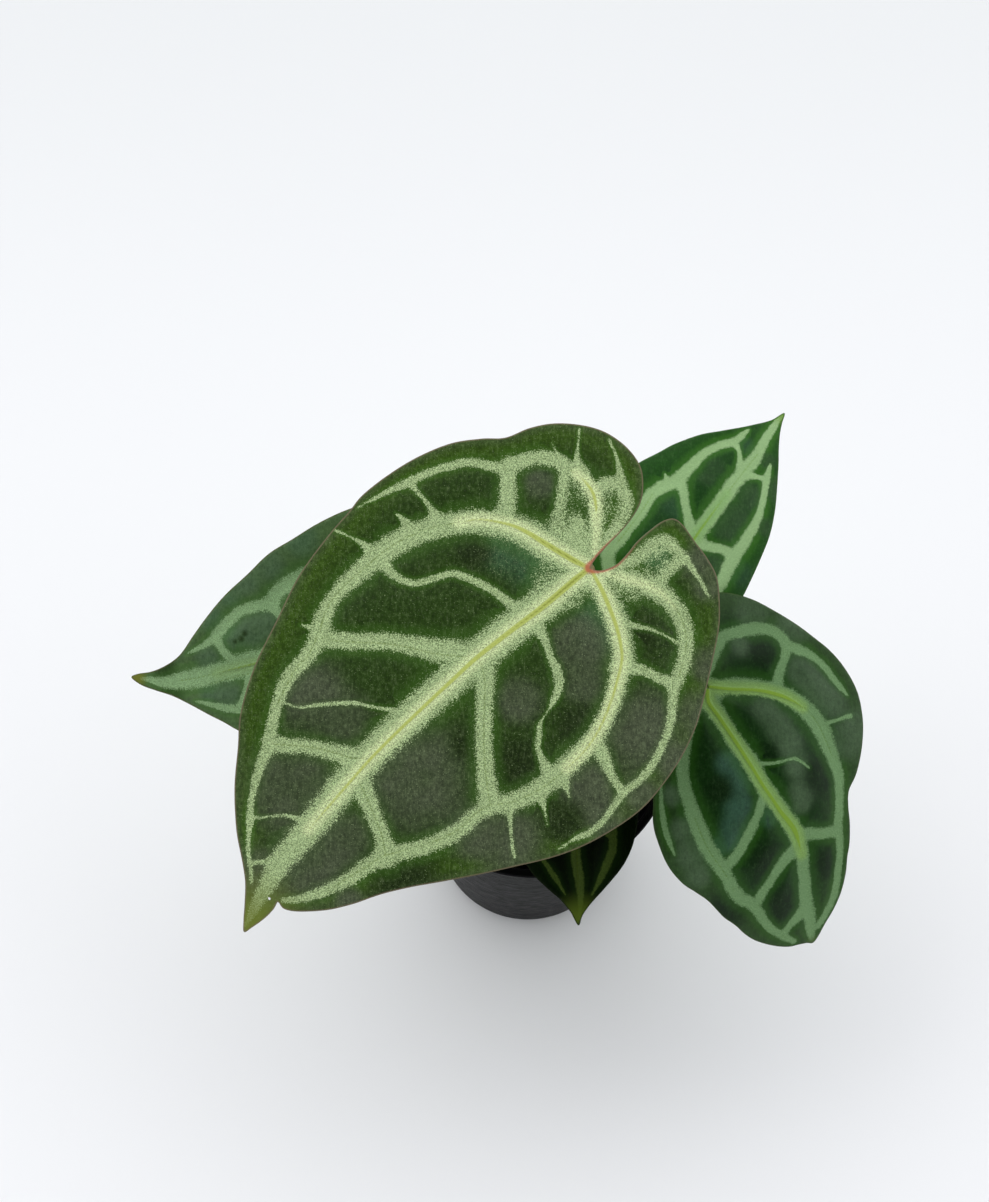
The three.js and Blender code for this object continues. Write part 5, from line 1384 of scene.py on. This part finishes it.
# %% Make the bed
ROUGH_FROM = 66  # only the top of the bed, above this height, is uneven, mm
STEM_HOLE = 5.9  # radius of the hole for the stem, mm
bed_rings = [(29.0, 2.0), (29.5, 4.0), (36.2, 62.0), (36.6, 66.2), (36.0, 67.2), (34, 67.9), (31, 68.3),
             (27, 68.6), (23, 68.8), (19, 69.0), (15, 69.1), (11, 69.1), (7, 69.2), (3, 69.2), (0.6, 69.2)]
bed = turned("bed_of_mix", bed_rings, 96)
for vertex in bed.data.vertices:
    if vertex.co.z > ROUGH_FROM * MM:
        spot = vertex.co / MM
        vertex.co.z += (1.1 * noise.noise(spot * 0.22) + 0.5 * noise.noise(spot * 0.7)) * MM
cut_out(bed, [drill(STEM_HOLE, 40, (STEM_AXIS[0] * MM, STEM_AXIS[1] * MM, 69.7 * MM))])
print("bed", len(bed.data.polygons), "faces")

# %% [markdown]
# Chips, crumbs and perlite differ only in size and number. One cube of each size is rounded
# halfway to a ball and roughened with noise. It is then copied, turned and sunk by seeded chance,
# along a spiral that spreads its steps evenly, so that every run lays the same bed.

# %% Model a chip and copy it
def chip_shape(size, seed, rounds):
    clear_selection()
    bpy.ops.mesh.primitive_cube_add(size=1)
    chip = bpy.context.object
    bpy.ops.object.mode_set(mode="EDIT")
    bpy.ops.mesh.subdivide(number_cuts=rounds)
    bpy.ops.object.mode_set(mode="OBJECT")
    for vertex in chip.data.vertices:
        spot = vertex.co.copy()
        ball = spot.normalized() * 0.62
        spot = spot.lerp(ball, 0.42)
        spot *= 1 + 0.35 * noise.noise(spot * 2.1 + Vector((seed * 7.3, 0, 0)))
        vertex.co = Vector((spot.x * size[0], spot.y * size[1], spot.z * size[2])) * MM
    mesh = chip.data.copy()
    bpy.data.objects.remove(chip, do_unlink=True)
    return mesh


GOLDEN_ANGLE = 2.39996  # radians: steps of this angle never line up
MIX_TOP = 69  # height of the bed, mm


def scatter(name, shapes, count, seed, inner, outer, lift, tilt, grow):
    chance = random.Random(seed)
    made = []
    for k in range(count):
        turn = k * GOLDEN_ANGLE + chance.uniform(-0.3, 0.3)
        reach = math.sqrt(inner**2 + (outer**2 - inner**2) * (k + 0.5) / count)
        mesh = shapes[k % len(shapes)].copy()
        spin = Matrix.Rotation(chance.uniform(0, 6.28), 4, "Z")
        lean = Matrix.Rotation(chance.uniform(-tilt, tilt), 4, "X")
        roll = Matrix.Rotation(chance.uniform(-tilt, tilt), 4, "Y")
        size = Matrix.Scale(chance.uniform(*grow), 4)
        height = MIX_TOP + chance.uniform(*lift)
        spot = Vector((reach * math.cos(turn), reach * math.sin(turn), height)) * MM
        mesh.transform(Matrix.Translation(spot) @ spin @ lean @ roll @ size)
        piece = bpy.data.objects.new(name, mesh)
        bpy.context.collection.objects.link(piece)
        made.append(piece)
    clear_selection()
    for piece in made:
        piece.select_set(True)
    bpy.context.view_layer.objects.active = made[0]
    bpy.ops.object.join()
    joined = bpy.context.object
    joined.name = name
    bpy.ops.object.shade_smooth_by_angle(angle=math.radians(50))
    print(name, count, "pieces,", len(joined.data.polygons), "faces")
    return joined


bark = [chip_shape((8, 5.2, 3), 1, 3), chip_shape((6.4, 4.4, 2.6), 2, 3), chip_shape((9.5, 4.2, 2.4), 3, 3)]
crumbs = [chip_shape((3.2, 2.4, 1.8), 4, 1), chip_shape((2.4, 2.0, 1.6), 5, 1)]
grains = [chip_shape((2.6, 2.4, 2.2), 6, 2), chip_shape((3.4, 2.8, 2.6), 7, 2)]
bark_chips = scatter("bark_chips", bark, 95, 3, 10.5, 31.5, (-0.6, 1.6), 0.5, (0.75, 1.1))
bark_crumbs = scatter("bark_crumbs", crumbs, 420, 5, 8.5, 34.6, (-0.5, 1.1), 1.2, (0.6, 1.2))
perlite = scatter("perlite_grains", grains, 44, 11, 9, 34, (0.2, 1.4), 1.2, (0.55, 1.1))
for piece in (bed, bark_chips, bark_crumbs, perlite):
    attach(piece, "root")
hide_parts("potting_mix")
for piece in (bark_chips, bark_crumbs, perlite):
    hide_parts("potting_mix")

# %% [markdown]
# The fines are nearly black: damp peat is dark, and the shade under the leaves is painted into
# them as well. The bark is a dark brown and the perlite is off white with pits. The first two
# share the skin of the stem in other tones.

# %% Colour the mix
# the fines' tones hold painted shade as well as the dark of damp peat
dress(bed, bark_skin("fines_skin", (0.005, 0.003, 0.002), (0.018, 0.012, 0.008), 0.9, 0.95))
bark_material = bark_skin("bark_skin", (0.014, 0.008, 0.004), (0.062, 0.034, 0.018), 0.3, 0.85)
dress(bark_chips, bark_material)
dress(bark_crumbs, bark_material)
white = Skin("perlite_skin")
pits = white.cells(white.place(), 2.2)
chalk = white.mix(pits, (0.42, 0.40, 0.36), (0.72, 0.71, 0.68))
dress(perlite, white.done(chalk, 0.9, white.bump(pits, 0.3, 0.8)))
print("mix coloured in", len({bed.data.materials[0], bark_material, perlite.data.materials[0]}), "skins")

# %% [markdown]
# ## Floor and light
#
# The plant stands on a plain pale floor, which is a wide plane with a matt skin, a little uneven in
# tone, with painted shade that greys it towards the back. A curved studio sheet would do as well,
# but nothing of its bend would be seen from so far above.

# %% Lay the floor
clear_selection()
bpy.ops.mesh.primitive_plane_add(size=6, location=(0, 0, 0))
floor = bpy.context.object
floor.name = "floor"
paper = Skin("floor_skin")
metres = paper.place(1.0)
cloud = paper.grain(metres, 1.6, 2, 0.5)
# painted shade: the floor darkens towards the back
far = paper.ramp(paper.parts(metres)[1], 0.05, 0.5, 0.0, 0.8)
near_tone = paper.mix(cloud, (0.85, 0.85, 0.865), (0.87, 0.87, 0.88))
dress(floor, paper.done(paper.mix(far, near_tone, (0.74, 0.75, 0.755)), 0.9, Specular_IOR_Level=0.1))
print("floor", round(floor.dimensions.x), "m wide")

# %% [markdown]
# Soft daylight falls in from the upper left. An area lamp would do, but a sun with a wide angle
# lights the near and the far leaves alike, and its shadows on the floor are just as soft. It is
# weak, because most of the light comes from the room.

# %% Hang the window light
HEADING = Vector((0.9, -0.6, -1.2))
clear_selection()
bpy.ops.object.light_add(type="SUN", location=-HEADING)
window = bpy.context.object
window.name = "window"
window.data.energy = 0.24
window.data.angle = math.radians(34)
window.data.color = (1.0, 0.98, 0.945)
window.rotation_euler = HEADING.to_track_quat("-Z", "Y").to_euler()
print("the light falls along", tuple(round(c, 2) for c in HEADING.normalized()))

# %% [markdown]
# The room is bright all round but dark overhead on the near side, behind the camera. That dark
# patch is what a blade facing the camera mirrors, so its greens stay deep, and only the parts that
# tilt away pick up the grey sheen. A picture of a room could light the scene, but a fade between
# two strengths is enough.

# %% Paint the room
world = bpy.data.worlds.new("room")
world.use_nodes = True
room = world.node_tree
direction = room.nodes.new("ShaderNodeTexCoord").outputs["Generated"]
near_side = room.nodes.new("ShaderNodeVectorMath")
near_side.operation = "DOT_PRODUCT"
near_side.inputs[1].default_value = (0.0, -0.5, 0.866)  # from the plant towards the camera
room.links.new(direction, near_side.inputs[0])
fade = room.nodes.new("ShaderNodeMapRange")
fade.interpolation_type = "SMOOTHSTEP"
for socket, value in {"From Min": 0.55, "From Max": 0.88, "To Min": 1.86, "To Max": 0.1}.items():
    fade.inputs[socket].default_value = value
room.links.new(near_side.outputs["Value"], fade.inputs["Value"])
sky = room.nodes["Background"]
sky.inputs["Color"].default_value = (0.965, 0.98, 1.0, 1)
room.links.new(fade.outputs["Result"], sky.inputs["Strength"])
bpy.context.scene.world = world
bpy.context.scene.view_settings.view_transform = "Standard"
print("room painted,", len(room.nodes), "nodes")
